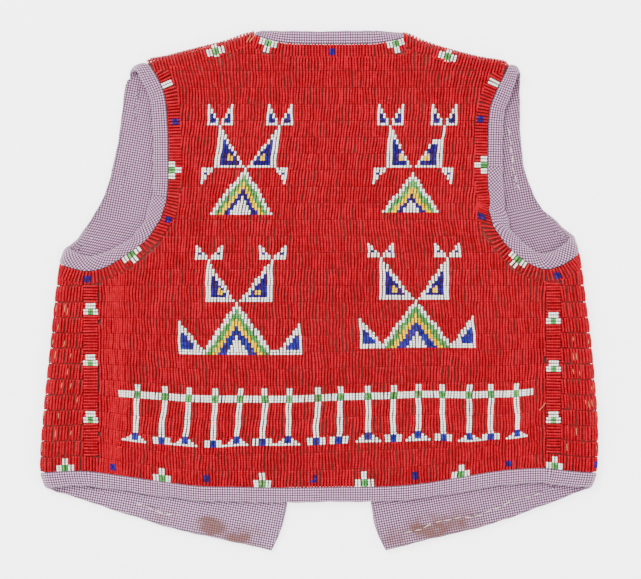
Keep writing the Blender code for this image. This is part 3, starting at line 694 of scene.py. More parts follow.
class Strings:
    """Strings of beads gathered into one mesh. Each string is a run of rings, narrow between beads."""

    def __init__(self):
        self.points = []
        self.faces = []
        self.colours = []
        self.cells = []
        self.count = 0

    def add(self, fold, centres, colours, cell_across, cell_down=0.0, sideways=(1.0, 0.0), **shape):
        """Adds strings: centres are [strings, rings, 2], and a colour below 0 leaves a bead out."""
        strings, rings = centres.shape[:2]
        beads = colours.shape[1]
        radius, depth = string_shape(strings, beads, **shape)
        sideways = np.broadcast_to(sideways, centres.shape)
        swing = (radius[..., None] * np.sin(RING))[..., None] * sideways[:, :, None, :]
        spots = centres[:, :, None, :] + swing
        sunk = depth[..., None] - radius[..., None] * np.cos(RING)
        points = fold(spots[..., 0], spots[..., 1], sunk)
        points[..., 2] = np.maximum(points[..., 2], LOWEST_BEAD)
        around = len(RING)
        number = np.arange(strings * rings * around).reshape(strings, rings, around)
        quads = np.stack([number[:, :-1, :-1], number[:, 1:, :-1], number[:, 1:, 1:], number[:, :-1, 1:]], -1)
        middle = around // 2
        outward = points[:, 1, middle] - (points[:, 1, 0] + points[:, 1, -1]) / 2
        down = points[:, 2, middle] - points[:, 1, middle]
        over = points[:, 1, middle + 1] - points[:, 1, middle]
        turned = (np.cross(down, over) * outward).sum(-1) < 0
        quads[turned] = quads[turned][..., ::-1]
        u = np.asarray(cell_across)[:, None, None] + np.linspace(*CELL_EDGES, around)
        v = cell_down + np.arange(rings)[None, :, None] / 2
        corner_cells = np.stack(np.broadcast_arrays(u, v), -1).reshape(-1, 2)[quads]
        bead_row = np.repeat(np.arange(beads), 2)
        first = (bead_row + cell_down)[None, :, None, None]
        corner_cells[..., 1] = np.clip(corner_cells[..., 1], first + CELL_MARGIN, first + 1 - CELL_MARGIN)
        painted = np.broadcast_to(colours[:, bead_row][:, :, None], quads.shape[:3])
        keep = painted >= 0
        faces = quads[keep]
        used, renumbered = np.unique(faces, return_inverse=True)
        self.points.append(points.reshape(-1, 3)[used])
        self.faces.append(renumbered.reshape(faces.shape) + self.count)
        self.colours.append(painted[keep])
        self.cells.append(corner_cells[keep])
        self.count += len(used)

    def build(self, name):
        cells = np.concatenate(self.cells)
        low = cells.reshape(-1, 2).min(0)
        size = np.ceil(cells.reshape(-1, 2).max(0) - low + 0.01)
        return piece_of(
            name, np.concatenate(self.points), np.concatenate(self.faces), BEAD_LOOKS,
            np.concatenate(self.colours), {"cells": cells, "OFBake": (cells - low) / size},
        )


def ring_shares(beads):
    """The share of a string's length at which each of its rings lies."""
    return np.linspace(0.0, 1.0, 2 * beads + 1)


def scatter(*shape):
    """Random numbers spread evenly about zero, from -0.5 to 0.5."""
    return chance.random(shape) - 0.5


# Radius of a bead at its belly, and the share of it between beads and at the ends of a string
BEAD_RADIUS = 0.89
PINCH = 0.71
END_PINCH = 0.68


def string_shape(strings, beads, arch=0.3, sunk=0.6):
    """Radius and depth of each ring: beads bellied, pinched between, arched up in the middle of a lane."""
    share = ring_shares(beads)
    belly = np.where(np.arange(len(share)) % 2 == 1, 1.0, PINCH)
    belly[[0, -1]] = END_PINCH
    each = 1 + 0.07 * scatter(strings, len(share))
    own = 1 - 0.1 * chance.random((strings, 1)) ** 3
    radius = BEAD_RADIUS * belly * each * own
    rise = arch * np.sin(math.pi * share) ** 0.7
    depth = sunk - rise + 0.16 * scatter(strings, 1)
    return radius, depth


# Height, wave lengths across and along, and phase of how the strings of the back waver
WAVER = [(0.28, 46.0, 61.0, 0.4), (0.2, -31.0, 23.0, 2.1), (0.12, 17.0, 11.0, 1.0)]

# Where the lean fades out towards the side strips, and over how far
LEAN_END = 131.0
LEAN_FADE = 22.0


def lean(x, along):
    """How far strings stand across from their column, as the lanes fan and waver."""
    share = ease((x - LEAN_LEFT) / (LEAN_RIGHT - LEAN_LEFT))
    shift = follow(LEAN[-1], along) * (1 - share) + follow(LEAN[1], along) * share
    off_seam = ease((LEAN_END - np.abs(x)) / LEAN_FADE)
    near_shoulder = np.maximum(0.0, SQUARE_REACH - shoulder_start(x) + along)
    shift = shift - follow(SHOULDER_RISE, x) * near_shoulder ** 2 / (2 * SQUARE_REACH)
    return shift * off_seam + wave(x, along, WAVER)


# Charts: colours by column and row of beads
def painter(colours):
    """A function that gives the beads under a mask a colour."""
    def paint(mask, colour):
        colours[mask] = colour
    return paint


def between(values, low, high):
    """Which values lie from low to high, both included."""
    return (values >= low) & (values <= high)


def fork(paint, column, row, middle, base, heights, blues):
    """Two small wings each side of a middle column: bead heights from the inside out, then blue runs."""
    off = np.abs(column - middle)
    up = base - row
    for distance, height in enumerate(heights, 1):
        paint((off == distance) & between(up, 0, height - 1), WHITE)
    for distance, low, high in blues:
        paint((off == distance) & between(up, low, high), NAVY)


# Rows of beads in a leg of a figure
LEG_ROWS = 18


def leg(paint, inward, down, count, thick, stalk, yellow):
    """A tall triangle: straight outer edge, sloping inner edge, white round blue with yellow at its heart."""
    top = np.round(inward * (LEG_ROWS - 1) / (count - 1))
    top = np.where(inward > 0, np.maximum(top, stalk), top)
    inside = between(inward, 0, count - 1) & (down >= top) & (down < LEG_ROWS)
    paint(inside, WHITE)
    paint(inside & (inward >= 2) & (down >= top + thick) & (down < LEG_ROWS - 1 - (thick > 2)), NAVY)
    for column, low, high in yellow:
        paint((inward == column) & between(down, low, high), YELLOW)


def nested(paint, off, down, rows, slope, bands, blue):
    """Triangles within one another, each band so many beads deep."""
    depth = down + 1 - slope * np.abs(off)
    inside = (depth > 0.4) & between(down, 0, rows - 1)
    paint(inside, WHITE)
    limit = 0.0
    for thickness, colour in zip((*bands, 0.0), (WHITE, GREEN, YELLOW, blue, WHITE)):
        paint(inside & (depth > limit + 0.4 * (limit == 0)), colour)
        limit += thickness


def hanging_hook(paint, outward, down):
    """A small hook below the outer corner of an upper leg."""
    for distance, height in enumerate((2, 3, 5, 7), 1):
        paint((outward == distance) & between(down, 0, height - 1), WHITE)
    paint((outward == 3) & (down == 2), NAVY)


def standing_hook(paint, inward, row, top, base):
    """A larger hook that stands on the base line of a lower figure."""
    edge = np.round(top + 1.6 * inward)
    inside = between(inward, 0, 8) & (row >= edge) & (row <= base)
    paint(inside, WHITE)
    paint(inside & between(inward, 1, 4) & (row >= edge + 3) & (row <= base - 2), BLUE)


YELLOW_HEART = [(4, 12, 14), (5, 13, 14)]
SMALL_HEART = [(4, 13, 14), (5, 13, 14)]
UPPER_FORK = [(3, 5, 7, 9), [(3, 1, 4), (2, 1, 2)]]
LOWER_FORK = [(2, 3, 5, 6), [(3, 2, 2)]]

# Middle column, first row of the legs, columns and stalk of each leg, their hearts, then the nested
# triangles: first row, rows, slope and the depth of each band
UPPER_FIGURES = [
    (-25, 30, (10, 10), (0, 0), (YELLOW_HEART, YELLOW_HEART), 48, 20, 1.9, (3.4, 3.0, 3.0, 3.0)),
    (32, 30, (9, 9), (0, 6), (YELLOW_HEART, YELLOW_HEART), 50, 17, 1.75, (3.0, 3.0, 3.6, 2.6)),
]
# The same without stalks, then the columns out to each hook and the first row of each
LOWER_FIGURES = [
    (-25, 87, (10, 11), (YELLOW_HEART, SMALL_HEART), 105, 22, 1.8, (3.6, 3.4, 3.4, 4.4),
     (19, 20), (113, 114)),
    (32, 86, (11, 11), (YELLOW_HEART, YELLOW_HEART), 104, 21, 1.75, (3.0, 3.6, 3.6, 4.6),
     (18, 19), (112, 111)),
]

# The photograph: millimetres in a pixel, and the pixel at the middle of the frame
PIXEL = 0.6
PHOTO_MIDDLE = (319.0, 290.75)

# The fence: posts by their place across in the photograph, first row of the rail, rows from there to the
# feet, where the rail lies along, and heights of a foot's columns from the middle out
POSTS = [
    138.0, 164.0, 189.0, 215.0, 241.0, 266.0, 291.0, 317.0,
    342.0, 368.0, 395.0, 419.0, 443.5, 468.0, 492.0, 516.0,
]
POST_COLUMN = 3.0
RAIL_ROW = 144
POST_ROWS = 20
RAIL_ALONG = -63.0
WIDE_FOOT = (4, 3, 2, 1)
NARROW_FOOT = (3, 3, 3)


def field_colours(column, row):
    """Colours of the beads on the back by their column and row."""
    column, row = np.broadcast_arrays(column, row)
    colours = np.zeros(column.shape, int)
    paint = painter(colours)
    for middle, first, counts, stalks, hearts, apex, rows, slope, bands in UPPER_FIGURES:
        for side, count, stalk, heart in zip((-1, 1), counts, stalks, hearts):
            outer = middle + side * count
            fork(paint, column, row, outer, first - 1, *UPPER_FORK)
            leg(paint, (outer - column) * side, row - first, count, 2, stalk, heart)
            hanging_hook(paint, (column - outer) * side, row - first - LEG_ROWS)
        nested(paint, column - middle, row - apex, rows, slope, bands, NAVY)
    for middle, first, counts, hearts, apex, rows, slope, bands, hooks, tops in LOWER_FIGURES:
        base = apex + rows - 1
        reach = column - middle
        paint(between(reach, -hooks[0], hooks[1]) & between(row, base - 1, base), WHITE)
        for side, count, heart, hook, top in zip((-1, 1), counts, hearts, hooks, tops):
            outer = middle + side * count
            fork(paint, column, row, outer, first - 1, *LOWER_FORK)
            leg(paint, (outer - column) * side, row - first, count, 3, 0, heart)
            standing_hook(paint, hook - reach * side, row, top, base)
        nested(paint, reach, row - apex, rows, slope, bands, BLUE)
    paint_fence(paint, column, row)
    return colours


def paint_fence(paint, column, row):
    """A rail on posts, each with a spur above and a foot below, wide and narrow in turn from both ends."""
    middles = [round((post - PHOTO_MIDDLE[0]) / POST_COLUMN - 0.5 - lean_at_rail(post)) for post in POSTS]
    paint(between(column, middles[0] - 6, middles[-1] + 6) & between(row, RAIL_ROW, RAIL_ROW + 2), WHITE)
    base = RAIL_ROW + POST_ROWS
    for number, middle in enumerate(middles):
        left_half = number < len(middles) // 2
        wide = (number % 2 == 0) == left_half
        off = np.where(column <= middle, middle - column, column - middle - 1)
        paint((off == 0) & between(row, RAIL_ROW - 3, base), WHITE)
        for distance, height in enumerate(WIDE_FOOT if wide else NARROW_FOOT):
            paint((off == distance) & between(row, base + 1 - height, base), WHITE)
        if wide and left_half:
            paint((column == middle - 4) & (row == base), WHITE)
        paint((off == 0) & between(row, RAIL_ROW, RAIL_ROW + 2), GREEN)
        paint((off == 0) & between(row, base - 2 - wide, base - wide), BLUE)


def across_frame(pixel):
    """Across in the frame from a place across in the photograph."""
    return (pixel - PHOTO_MIDDLE[0]) * PIXEL


def from_photo(across, down):
    """A place in the frame from a place in the photograph."""
    return across_frame(across), (PHOTO_MIDDLE[1] - down) * PIXEL


def lean_at_rail(post):
    """How many columns the strings have leant at the rail, at a place in the photograph."""
    x = across_frame(post)
    return float(lean(np.array(x), np.array(RAIL_ALONG))) / PITCH


# Strings of a crown to each side of its middle
CROWN_HALF = 3


def crown(paint, off, up):
    """A crown at an edge: white each side, green in the middle with white above."""
    off = np.abs(off)
    paint((off >= 1) & (off < CROWN_HALF) & between(up, 0, 2), WHITE)
    paint((off < 1) & between(up, 0, 2), GREEN)
    paint((off < 1) & between(up, 3, 5), WHITE)


# Marks on the hem lane, by their place across in the photograph
HEM_CROWNS = [66.5, 162.0, 263.0, 364.0, 461.0, 555.0]
HEM_SQUARES = [113.5, 207.5, 314.8, 414.0, 509.0, 596.4]


def paint_hem(x, colours):
    """Paints the crowns and blue squares of the hem lane on strings that lie at x across."""
    paint = painter(colours)
    up = BEADS - 1 - np.arange(BEADS)
    for middle in HEM_CROWNS:
        crown(paint, (x - across_frame(middle)) / PITCH, up)
    for middle in HEM_SQUARES:
        paint((np.abs(x - across_frame(middle)) / PITCH < 1) & between(up, 2, 4), NAVY)


# The back's field: its columns of beads, its pieces by name with the lanes from and up to which they go,
# the share of a lane left free at each end, how far strings stray sideways, lean and stray endways, how
# near beads come to a strip, a shoulder lane and a border, and points that close the body's shape
COLUMNS = np.arange(-76, 78)
FIELD_PIECES = (("beads_yoke", -1, 9), ("beads_middle", 9, 17), ("beads_skirt", 17, 26))
HEM_LANE = STRAIGHT_LANES + SAGGING_LANES - 1
LANE_MARGIN = 0.004
JITTER = 0.36
TILT = 0.44
STAGGER = 0.12
STRIP_GAP = 0.7
SHOULDER_OVERLAP = 1.3
BORDER_OVERLAP = 0.8
BELOW_HEM = [(-170.0, -130.0), (170.0, -130.0)]
ABOVE_SHOULDERS = [(114.0, 170.0), (-104.0, 170.0)]


def field_beads():
    """The lanes of the back between its borders, in three pieces."""
    edges = {}
    for side, _ in SIDES:
        line = armhole_path(side, 4.0)
        edges[side] = in_frame(side, line[line[:, 0] < 2.0])
    neck = curve(NECK_EDGE, 4.0)
    body = np.vstack([edges[-1], BELOW_HEM, edges[1][::-1], ABOVE_SHOULDERS])
    column_x = COLUMNS[:, None] * PITCH
    share = ring_shares(BEADS)
    pieces = []
    for name, first, last in FIELD_PIECES:
        strings = Strings()
        for lane in range(first, last):
            jitter = JITTER * scatter(len(COLUMNS))[:, None]
            tilt = TILT * scatter(len(COLUMNS))[:, None]
            down = lane + LANE_MARGIN + share * (1 - 2 * LANE_MARGIN)
            x = column_x + lean(column_x, lane_line(down, column_x)) + jitter + tilt * (share - 0.5)
            along = lane_line(down, x) + STAGGER * scatter(len(COLUMNS), 1)
            centres = np.stack([x, along], -1)
            beads = centres[:, 1::2]
            colours = field_colours(COLUMNS[:, None], lane * BEADS + np.arange(BEADS))
            if lane == HEM_LANE:
                paint_hem(beads[..., 0], colours)
            out = beads[..., 0]
            keep = (out > STRIP_GAP - STRIP_INNER[-1]) & (out < STRIP_INNER[1] - STRIP_GAP)
            keep &= beads[..., 1] < shoulder_start(out) + SHOULDER_LANE + SHOULDER_OVERLAP
            keep &= within(body, beads.reshape(-1, 2)).reshape(keep.shape)
            for line in (edges[-1], edges[1], neck):
                keep &= gap_to(line, beads) > BORDER - BORDER_OVERLAP
            keep &= keep.sum(1, keepdims=True) > 1
            strings.add(over_top, centres, np.where(keep, colours, -1), COLUMNS + 80, lane * BEADS)
        pieces.append(strings.build(name))
    return pieces


def along_path(path, spacing):
    """Places a spacing apart on a path, with the direction to its left and their distance from its start."""
    far = distances(path)
    at = np.arange(spacing / 2, far[-1], spacing)
    points = np.stack([np.interp(at, far, path[:, axis]) for axis in (0, 1)], 1)
    ahead = np.stack([np.interp(at + 1.5, far, path[:, axis]) for axis in (0, 1)], 1)
    behind = np.stack([np.interp(at - 1.5, far, path[:, axis]) for axis in (0, 1)], 1)
    run = ahead - behind
    run /= np.linalg.norm(run, axis=1)[:, None]
    return points, np.stack([-run[:, 1], run[:, 0]], 1), at


def border_strings(strings, fold, points, inward, colours):
    """Strings that stand square to an edge, from points on it into the body."""
    count, beads = colours.shape
    start = (0.25 + 0.2 * chance.random(count))[:, None]
    tilt = 0.05 * scatter(count, 1)
    sideways = np.stack([-inward[:, 1], inward[:, 0]], 1)
    run = inward + sideways * tilt
    far = start + ring_shares(beads) * (BORDER - 0.3 - start)
    centres = points[:, None, :] + run[:, None, :] * far[..., None]
    strings.add(fold, centres, colours, np.arange(count), sideways=sideways[:, None, :])


# Marks on the borders: kind, and place in the photograph
ARMHOLE_MARKS = {
    -1: [("bar", 165.8, 81.8), ("square", 175.0, 120.7), ("crown", 174.0, 169.8), ("square", 166.0, 218.6),
         ("crown", 134.5, 254.4), ("square", 90.6, 279.9)],
    1: [("bar", 495.5, 81.7), ("square", 483.8, 116.8), ("crown", 483.8, 164.4), ("square", 484.5, 214.8),
        ("crown", 513.3, 260.0), ("square", 556.0, 273.3)],
}
NECK_MARKS = [("crown", 267.0, 46.0), ("square", 330.0, 51.0), ("crown", 394.5, 46.0)]


def mark_colours(spots, marks):
    """Colours of border strings: spots are the middles of the strings in the frame."""
    colours = np.zeros((len(spots), BORDER_BEADS), int)
    paint = painter(colours)
    up = np.arange(BORDER_BEADS)
    for kind, across, down in marks:
        nearest = np.argmin(np.hypot(*(spots - np.array(from_photo(across, down))).T))
        off = (np.arange(len(spots)) - nearest - 0.5)[:, None]
        if kind == "crown":
            crown(paint, off, up)
        elif kind == "square":
            paint((np.abs(off) < 1) & between(up, 2, 4), NAVY)
        else:
            paint((np.abs(off) < 1) & between(up, 0, 4), WHITE)
    return colours


def armhole_beads(side, name):
    """The border lane round an armhole, from below the shoulder lane down to the bend of the side fold."""
    path = armhole_path(side, 3.0)
    points, left, _ = along_path(path[path[:, 0] < BEND_LENGTH * 0.6], PITCH)
    middle = points - left * BORDER / 2
    colours = mark_colours(in_frame(side, middle), ARMHOLE_MARKS[side])
    inward = (np.arange(BORDER_BEADS) + 0.5) / BORDER_BEADS * BORDER - BORDER / 2
    reach = middle[:, :1] - left[:, :1] * inward
    along = middle[:, 1:] - left[:, 1:] * inward
    x = side * (fold_start(side, along) + reach)
    colours[along > shoulder_start(x) + SHOULDER_LANE + 0.5] = -1
    strings = Strings()
    border_strings(strings, partial(place, side), points, -left, colours)
    return strings.build(name)


# Each shoulder lane: both ends across, and the place of its cross in the photograph
SHOULDER_LANES = [(-106.0, -36.0, (216.0, 53.0)), (49.0, 117.0, (448.0, 56.5))]

# From one shoulder lane to the next, the length of their strings, how near their beads come to the
# armhole's edge, and how far they go past the neck's end
SHOULDER_PITCH = 10.0
SHOULDER_STRING = 9.8
ARMHOLE_GAP = 0.8
NECK_OVERLAP = 0.2


def over_shoulder(x, along, depth):
    """Points of the upper layer where it takes the full bend over a shoulder."""
    return over_top(x, along, depth, 1.0)


def paint_cross(off, colours):
    """Paints the cross of a shoulder lane on strings so many columns off its middle."""
    paint = painter(colours)
    up = np.arange(BEADS)
    paint((off < 3.1) & between(up, 1, 3), WHITE)
    paint((off < 1.0) & between(up, 0, 5), WHITE)
    paint((off < 1.0) & between(up, 1, 3), GREEN)


def shoulder_strings(strings, first, last, cross, cell):
    """The lane on a shoulder and the one behind it, over the fold. Strings stand square to the edge."""
    side = -1 if first < 0 else 1
    x = np.arange(first, last, PITCH)[:, None]
    line = armhole_path(side, 3.0)
    edge = in_frame(side, line[line[:, 0] < 0.0])[::-1]
    neck = NECK_EDGE[0][0] if side < 0 else NECK_EDGE[-1][0]
    for lane in range(2):
        up = SHOULDER_LANE + SHOULDER_PITCH * lane + 0.1 + ring_shares(BEADS) * SHOULDER_STRING
        across = x - follow(SHOULDER_RISE, x) * up + 0.2 * scatter(len(x), 1)
        centres = np.stack([across, shoulder_start(across) + up], -1)
        colours = np.zeros((len(x), BEADS), int)
        if lane == 0:
            paint_cross(np.abs((x - cross) / PITCH), colours)
        out, along = centres[:, 1::2, 0], centres[:, 1::2, 1]
        limit = np.interp(along, edge[:, 1], np.abs(edge[:, 0]), right=abs(edge[-1, 0]))
        colours[np.abs(out) > limit - ARMHOLE_GAP] = -1
        colours[side * (out - neck) < -NECK_OVERLAP] = -1
        strings.add(over_shoulder, centres, colours, cell + np.arange(len(x)), lane * (BEADS + 1))
    return cell + len(x)


def neck_and_shoulder_beads():
    """The border at the back of the neck, and the lanes that run over each shoulder."""
    strings = Strings()
    points, left, _ = along_path(curve(NECK_EDGE, 3.0), PITCH)
    border_strings(strings, over_top, points, -left, mark_colours(points - left * BORDER / 2, NECK_MARKS))
    cell = len(points)
    for first, last, cross in SHOULDER_LANES:
        cell = shoulder_strings(strings, first, last, from_photo(*cross)[0], cell)
    return strings.build("beads_neck_and_shoulders")


# How far down the photograph the trees on each side strip lie, and the gap between strip and lanes
STRIP_TREES = {-1: (310.5, 362.4, 418.0), 1: (320.3, 368.0, 417.0)}
STRIP_CLEAR = 0.9


def strip_beads(side, name):
    """Short strings that lie crosswise down a side seam, and the hem lane across the strip's lower end."""
    low_x, high_x = STRIP_INNER[side], STRIP_OUTER[side]
    middle_x = (low_x + high_x) / 2
    arm = split(armhole_path(side, 3.0), out_from_middle(side), middle_x)[1]
    top = arm[0, 1] - BORDER - STRIP_CLEAR
    low = float(follow(HEM_EDGE, side * middle_x)) + BORDER + STRIP_CLEAR
    along = np.arange(top, low, -PITCH)[:, None]
    count = len(along)
    share = ring_shares(BORDER_BEADS)
    across = low_x - 0.15 + share * (high_x - low_x + 0.3)
    x = side * across[::side] + 0.3 * scatter(count, 1)
    y = along + 0.25 * scatter(count, 1) + 0.5 * scatter(count, 1) * (share - 0.5)
    colours = np.zeros((count, BORDER_BEADS), int)
    for down in STRIP_TREES[side]:
        nearest = np.argmin(np.abs(along - from_photo(0.0, down)[1]))
        colours[nearest - 2:nearest, 1:5] = WHITE
        colours[nearest:nearest + 2] = WHITE
        colours[nearest:nearest + 2, 2:4] = GREEN
    strings = Strings()
    centres = np.stack([x, y], -1)
    strings.add(over_top, centres, colours, np.arange(count), sideways=(0.0, 1.0), arch=0.7, sunk=0.45)
    x = np.arange(math.ceil((low_x + 0.2) / PITCH), math.ceil(high_x / PITCH))[:, None] * PITCH * side
    y = follow(HEM_EDGE, x) + 0.2 + (1 - ring_shares(BEADS)) * (BORDER + 0.4)
    colours = np.zeros((len(x), BEADS), int)
    paint_hem(x, colours)
    strings.add(over_top, np.stack(np.broadcast_arrays(x, y), -1), colours, count + np.arange(len(x)))
    return strings.build(name)


# Beads at the sides: first lane, spacing of strings, gap to the strip, where lanes are taken across, how
# far round the bend they go, and the share of a lane that a string fills
FIRST_SIDE_LANE = 10
SIDE_PITCH = PITCH * 1.02
SIDE_CLEAR = 1.0
SIDE_X = 155.0
SIDE_END = BEND_LENGTH * 0.92
SIDE_STRING = 0.955


def side_lane(side, lane):
    """How far along the middle of a lane lies at a side, and the reach at which its strings start."""
    along = float(lane_line(lane + 0.5, np.array(side * SIDE_X)))
    return along, STRIP_OUTER[side] + SIDE_CLEAR - float(fold_start(side, along))


def wrap_beads(side, name):
    """The lanes of a front where it comes round the side fold, looser than those of the back."""
    strings = Strings()
    share = ring_shares(BEADS)
    arm = armhole_path(side, 3.0)
    arm = arm[np.argmin(arm[:, 0]):]
    for number, lane in enumerate(range(FIRST_SIDE_LANE, HEM_LANE + 1)):
        middle, first = side_lane(side, lane)
        reach = np.arange(first, SIDE_END, SIDE_PITCH)[:, None]
        count = len(reach)
        down = lane + 0.5 + (share - 0.5) * SIDE_STRING
        x = side * (float(fold_start(side, middle)) + np.minimum(reach, 0.0))
        shift = 0.6 * scatter(count, 1) * (lane != HEM_LANE)
        along = lane_line(down, x) + shift
        wander = 0.5 * scatter(count, 1) + 0.5 * scatter(count, 1) * (share - 0.5)
        centres = np.stack([reach + wander, along], -1)
        beads = centres[:, 1::2]
        below = beads[..., 1] < np.interp(beads[..., 0], arm[:, 0], arm[:, 1])
        colours = np.where(below & (gap_to(arm, beads) > BORDER - 0.6), RED, -1)
        if lane == HEM_LANE:
            paint_hem(place(side, reach, middle, 0.0)[..., 0], colours)
        strings.add(partial(place, side), centres, colours, np.arange(count), number * (BEADS + 1), arch=0.4)
    return strings.build(name)


# Cloth: height of a row of even triangles as a share of their sides, and the side of the triangles
ROW_HEIGHT = 0.866
BACK_GRID = 6.0
FRONT_GRID = 5.0
LINING_GRID = 3.2


def triangles_in(outline, spacing):
    """Triangles inside an outline, through an even grid of points clear of it."""
    low, high = outline.min(0), outline.max(0)
    across = np.arange(low[0] + spacing / 2, high[0], spacing)
    rows = np.arange(low[1] + spacing / 2, high[1], spacing * ROW_HEIGHT)
    x, y = np.meshgrid(across, rows)
    x = x + (np.arange(len(rows)) % 2 * spacing / 2)[:, None]
    points = np.stack([x.ravel(), y.ravel()], 1)
    points = points[within(outline, points)]
    points = points[gap_to(np.vstack([outline, outline[:1]]), points) > spacing * 0.45]
    edges = [(number, (number + 1) % len(outline)) for number in range(len(outline))]
    spots = [tuple(map(float, spot)) for spot in np.vstack([outline, points])]
    corners, _, faces, _, _, _ = delaunay_2d_cdt(spots, edges, [], 1, 1e-5)
    return np.array([tuple(corner) for corner in corners]), np.array(faces)


def rotated(spots, turn):
    """Flat points turned about zero."""
    cosine, sine = np.cos(turn), np.sin(turn)
    x, y = spots[..., 0], spots[..., 1]
    return np.stack([x * cosine - y * sine, x * sine + y * cosine], -1)


def sheet_piece(name, outline, spacing, outer, inner, looks, turn=0.0):
    """A closed layer of cloth inside an outline, between an outer and an inner surface."""
    spots, faces = triangles_in(outline, spacing)
    count = len(spots)
    outside, inside = outer(spots), inner(spots)
    rim = len(outline)
    around = np.arange(rim)
    after = (around + 1) % rim
    upper_wall = np.stack([after, around, count + around], 1)
    lower_wall = np.stack([after, count + around, count + after], 1)
    all_faces = np.concatenate([faces, count + faces[:, ::-1], upper_wall, lower_wall])
    points = np.concatenate([outside, inside])
    first = points[faces[:, 0]]
    facing = np.cross(points[faces[:, 1]] - first, points[faces[:, 2]] - first)
    outward = (facing * (first - inside[faces[:, 0]])).sum()
    if outward < 0:
        all_faces = all_faces[:, ::-1]
    weave = rotated(np.concatenate([spots, spots]), turn)
    made = piece_of(name, points, all_faces, looks, layers={"weave": weave[all_faces]})
    step = np.roll(outline, -1, axis=0)
    area = abs((outline[:, 0] * step[:, 1] - step[:, 0] * outline[:, 1]).sum()) / 2
    size = outline.max(0) - outline.min(0)
    return made, size * MILLIMETRE, area * MILLIMETRE ** 2


def back_outline():
    """The cut edge of the back's hide, over the shoulders to just under their bends."""
    across = np.linspace(-STRIP_INNER[-1] + SEAM, STRIP_INNER[1] - SEAM, 40)
    hem = np.stack([across, follow(HEM_EDGE, across) + SEAM], 1)
    arms = {}
    for side, _ in SIDES:
        line = split(armhole_path(side, 5.0), out_from_middle(side), STRIP_INNER[side] - SEAM)[0]
        arms[side] = beside(in_frame(side, line), -side * SEAM)
    neck = beside(curve(NECK_EDGE, 4.0), -BENT_SEAM)
    bends = np.linspace(0.2, 1.0, 5) * SHOULDER_LENGTH

    def shoulder_top(x, inner_x):
        out = np.stack([np.full(len(bends), x), shoulder_start(x) + bends], 1)
        under = shoulder_line(x, inner_x, -SHOULDER_LENGTH - SHOULDER_UNDER)
        back = np.stack([np.full(len(bends), inner_x), shoulder_start(inner_x) + bends[::-1]], 1)
        return np.vstack([out, under, back])

    right_top = shoulder_top(arms[1][0, 0], NECK_EDGE[-1][0] + 1.0)
    left_top = shoulder_top(arms[-1][0, 0], NECK_EDGE[0][0] - 1.0)
    return joined(hem, arms[1][::-1], right_top, neck[::-1], left_top[::-1], arms[-1])


def under_shoulder(side, arm, edge, up=-SHOULDER_UNDER - SEAM):
    """A front's armhole edge and free edge, cut off near the shoulder's bend, and the edge between."""
    def rise(line):
        return line[:, 1] - shoulder_start(in_frame(side, line)[:, 0]) - up

    arm = split(arm, rise, 0.0)[0]
    edge = split(edge, rise, 0.0)[0]
    first, last = (in_frame(side, line)[-1, 0] for line in (arm, edge))
    line = shoulder_line(first, last, -up)
    return arm, unfold_bottom(side, line[1:-1]), edge


def hem_at_side(side, places):
    """The hem of the upper layer near a side fold, unfolded, then the point where it goes round the fold."""
    spots = [(side * x, float(follow(HEM_EDGE, side * x))) for x in places]
    return np.vstack([unfold_top(side, spots), [[BEND_LENGTH / 2, float(follow(HEM_EDGE, HEM_TURN_X))]]])


def front_outline(side):
    """The cut edge of a front's hide, unfolded, from the side strip round to the centre edge."""
    seam = STRIP_OUTER[side] + SEAM
    arm = beside(split(armhole_path(side, 4.0), out_from_middle(side), seam)[1], -BENT_SEAM)
    hem_at = follow(HEM_EDGE, side * seam)
    seam_low = unfold_top(side, [(side * seam, hem_at + SEAM)])
    hem = beside(curve(hem_at_side(side, (seam, 153.0)), 5.0), SEAM)
    arm, shoulder, edge = under_shoulder(side, arm, front_path(side, BENT_SEAM))
    return joined(seam_low, arm, shoulder, edge[::-1], hem[:0:-1])


def hide_pieces():
    """The hide of the back and of each front, under their beads."""
    piece, size, area = sheet_piece(
        "hide_back", back_outline(), BACK_GRID,
        lambda spots: over_top(spots[:, 0], spots[:, 1], HIDE_TOP),
        lambda spots: over_top(spots[:, 0], spots[:, 1], HIDE),
        [HIDE_PAINTED_SHADE],
    )
    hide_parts("back_panel")
    for side, word in SIDES:
        def level(spots):
            """How deep the outer face lies: below the beads up to the bend, and plain underneath."""
            return HIDE_TOP * ease((BEND_LENGTH * 0.95 - spots[:, 0]) / (BEND_LENGTH * 0.12))

        piece, size, area = sheet_piece(
            "hide_front_" + word, front_outline(side), FRONT_GRID,
            lambda spots: place(side, spots[:, 0], spots[:, 1], level(spots)),
            lambda spots: place(side, spots[:, 0], spots[:, 1], HIDE),
            [HIDE_PAINTED_SHADE],
        )
        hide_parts("front_" + word)


# Length of the hide strips over which their grain is laid out
STRIP_LENGTH = 120.0


def strip_hide(side, word):
    """The hide under a side strip."""
    low_x, high_x = STRIP_INNER[side], STRIP_OUTER[side]
    x = np.array([low_x, low_x, high_x, high_x])
    depth = np.array([HIDE, HIDE_TOP, HIDE_TOP, HIDE])
    arm = armhole_path(side, 4.0)
    top = np.array([split(arm, out_from_middle(side), at)[1][0, 1] - BENT_SEAM for at in x])
    low = follow(HEM_EDGE, side * x) + BENT_SEAM
    share = np.linspace(0.0, 1.0, 33)
    points = over_top(side * x, low + (top - low) * share[:, None], depth)
    return tube("hide_strip_" + word, points, [HIDE_PAINTED_SHADE], share * STRIP_LENGTH, turned=side < 0)


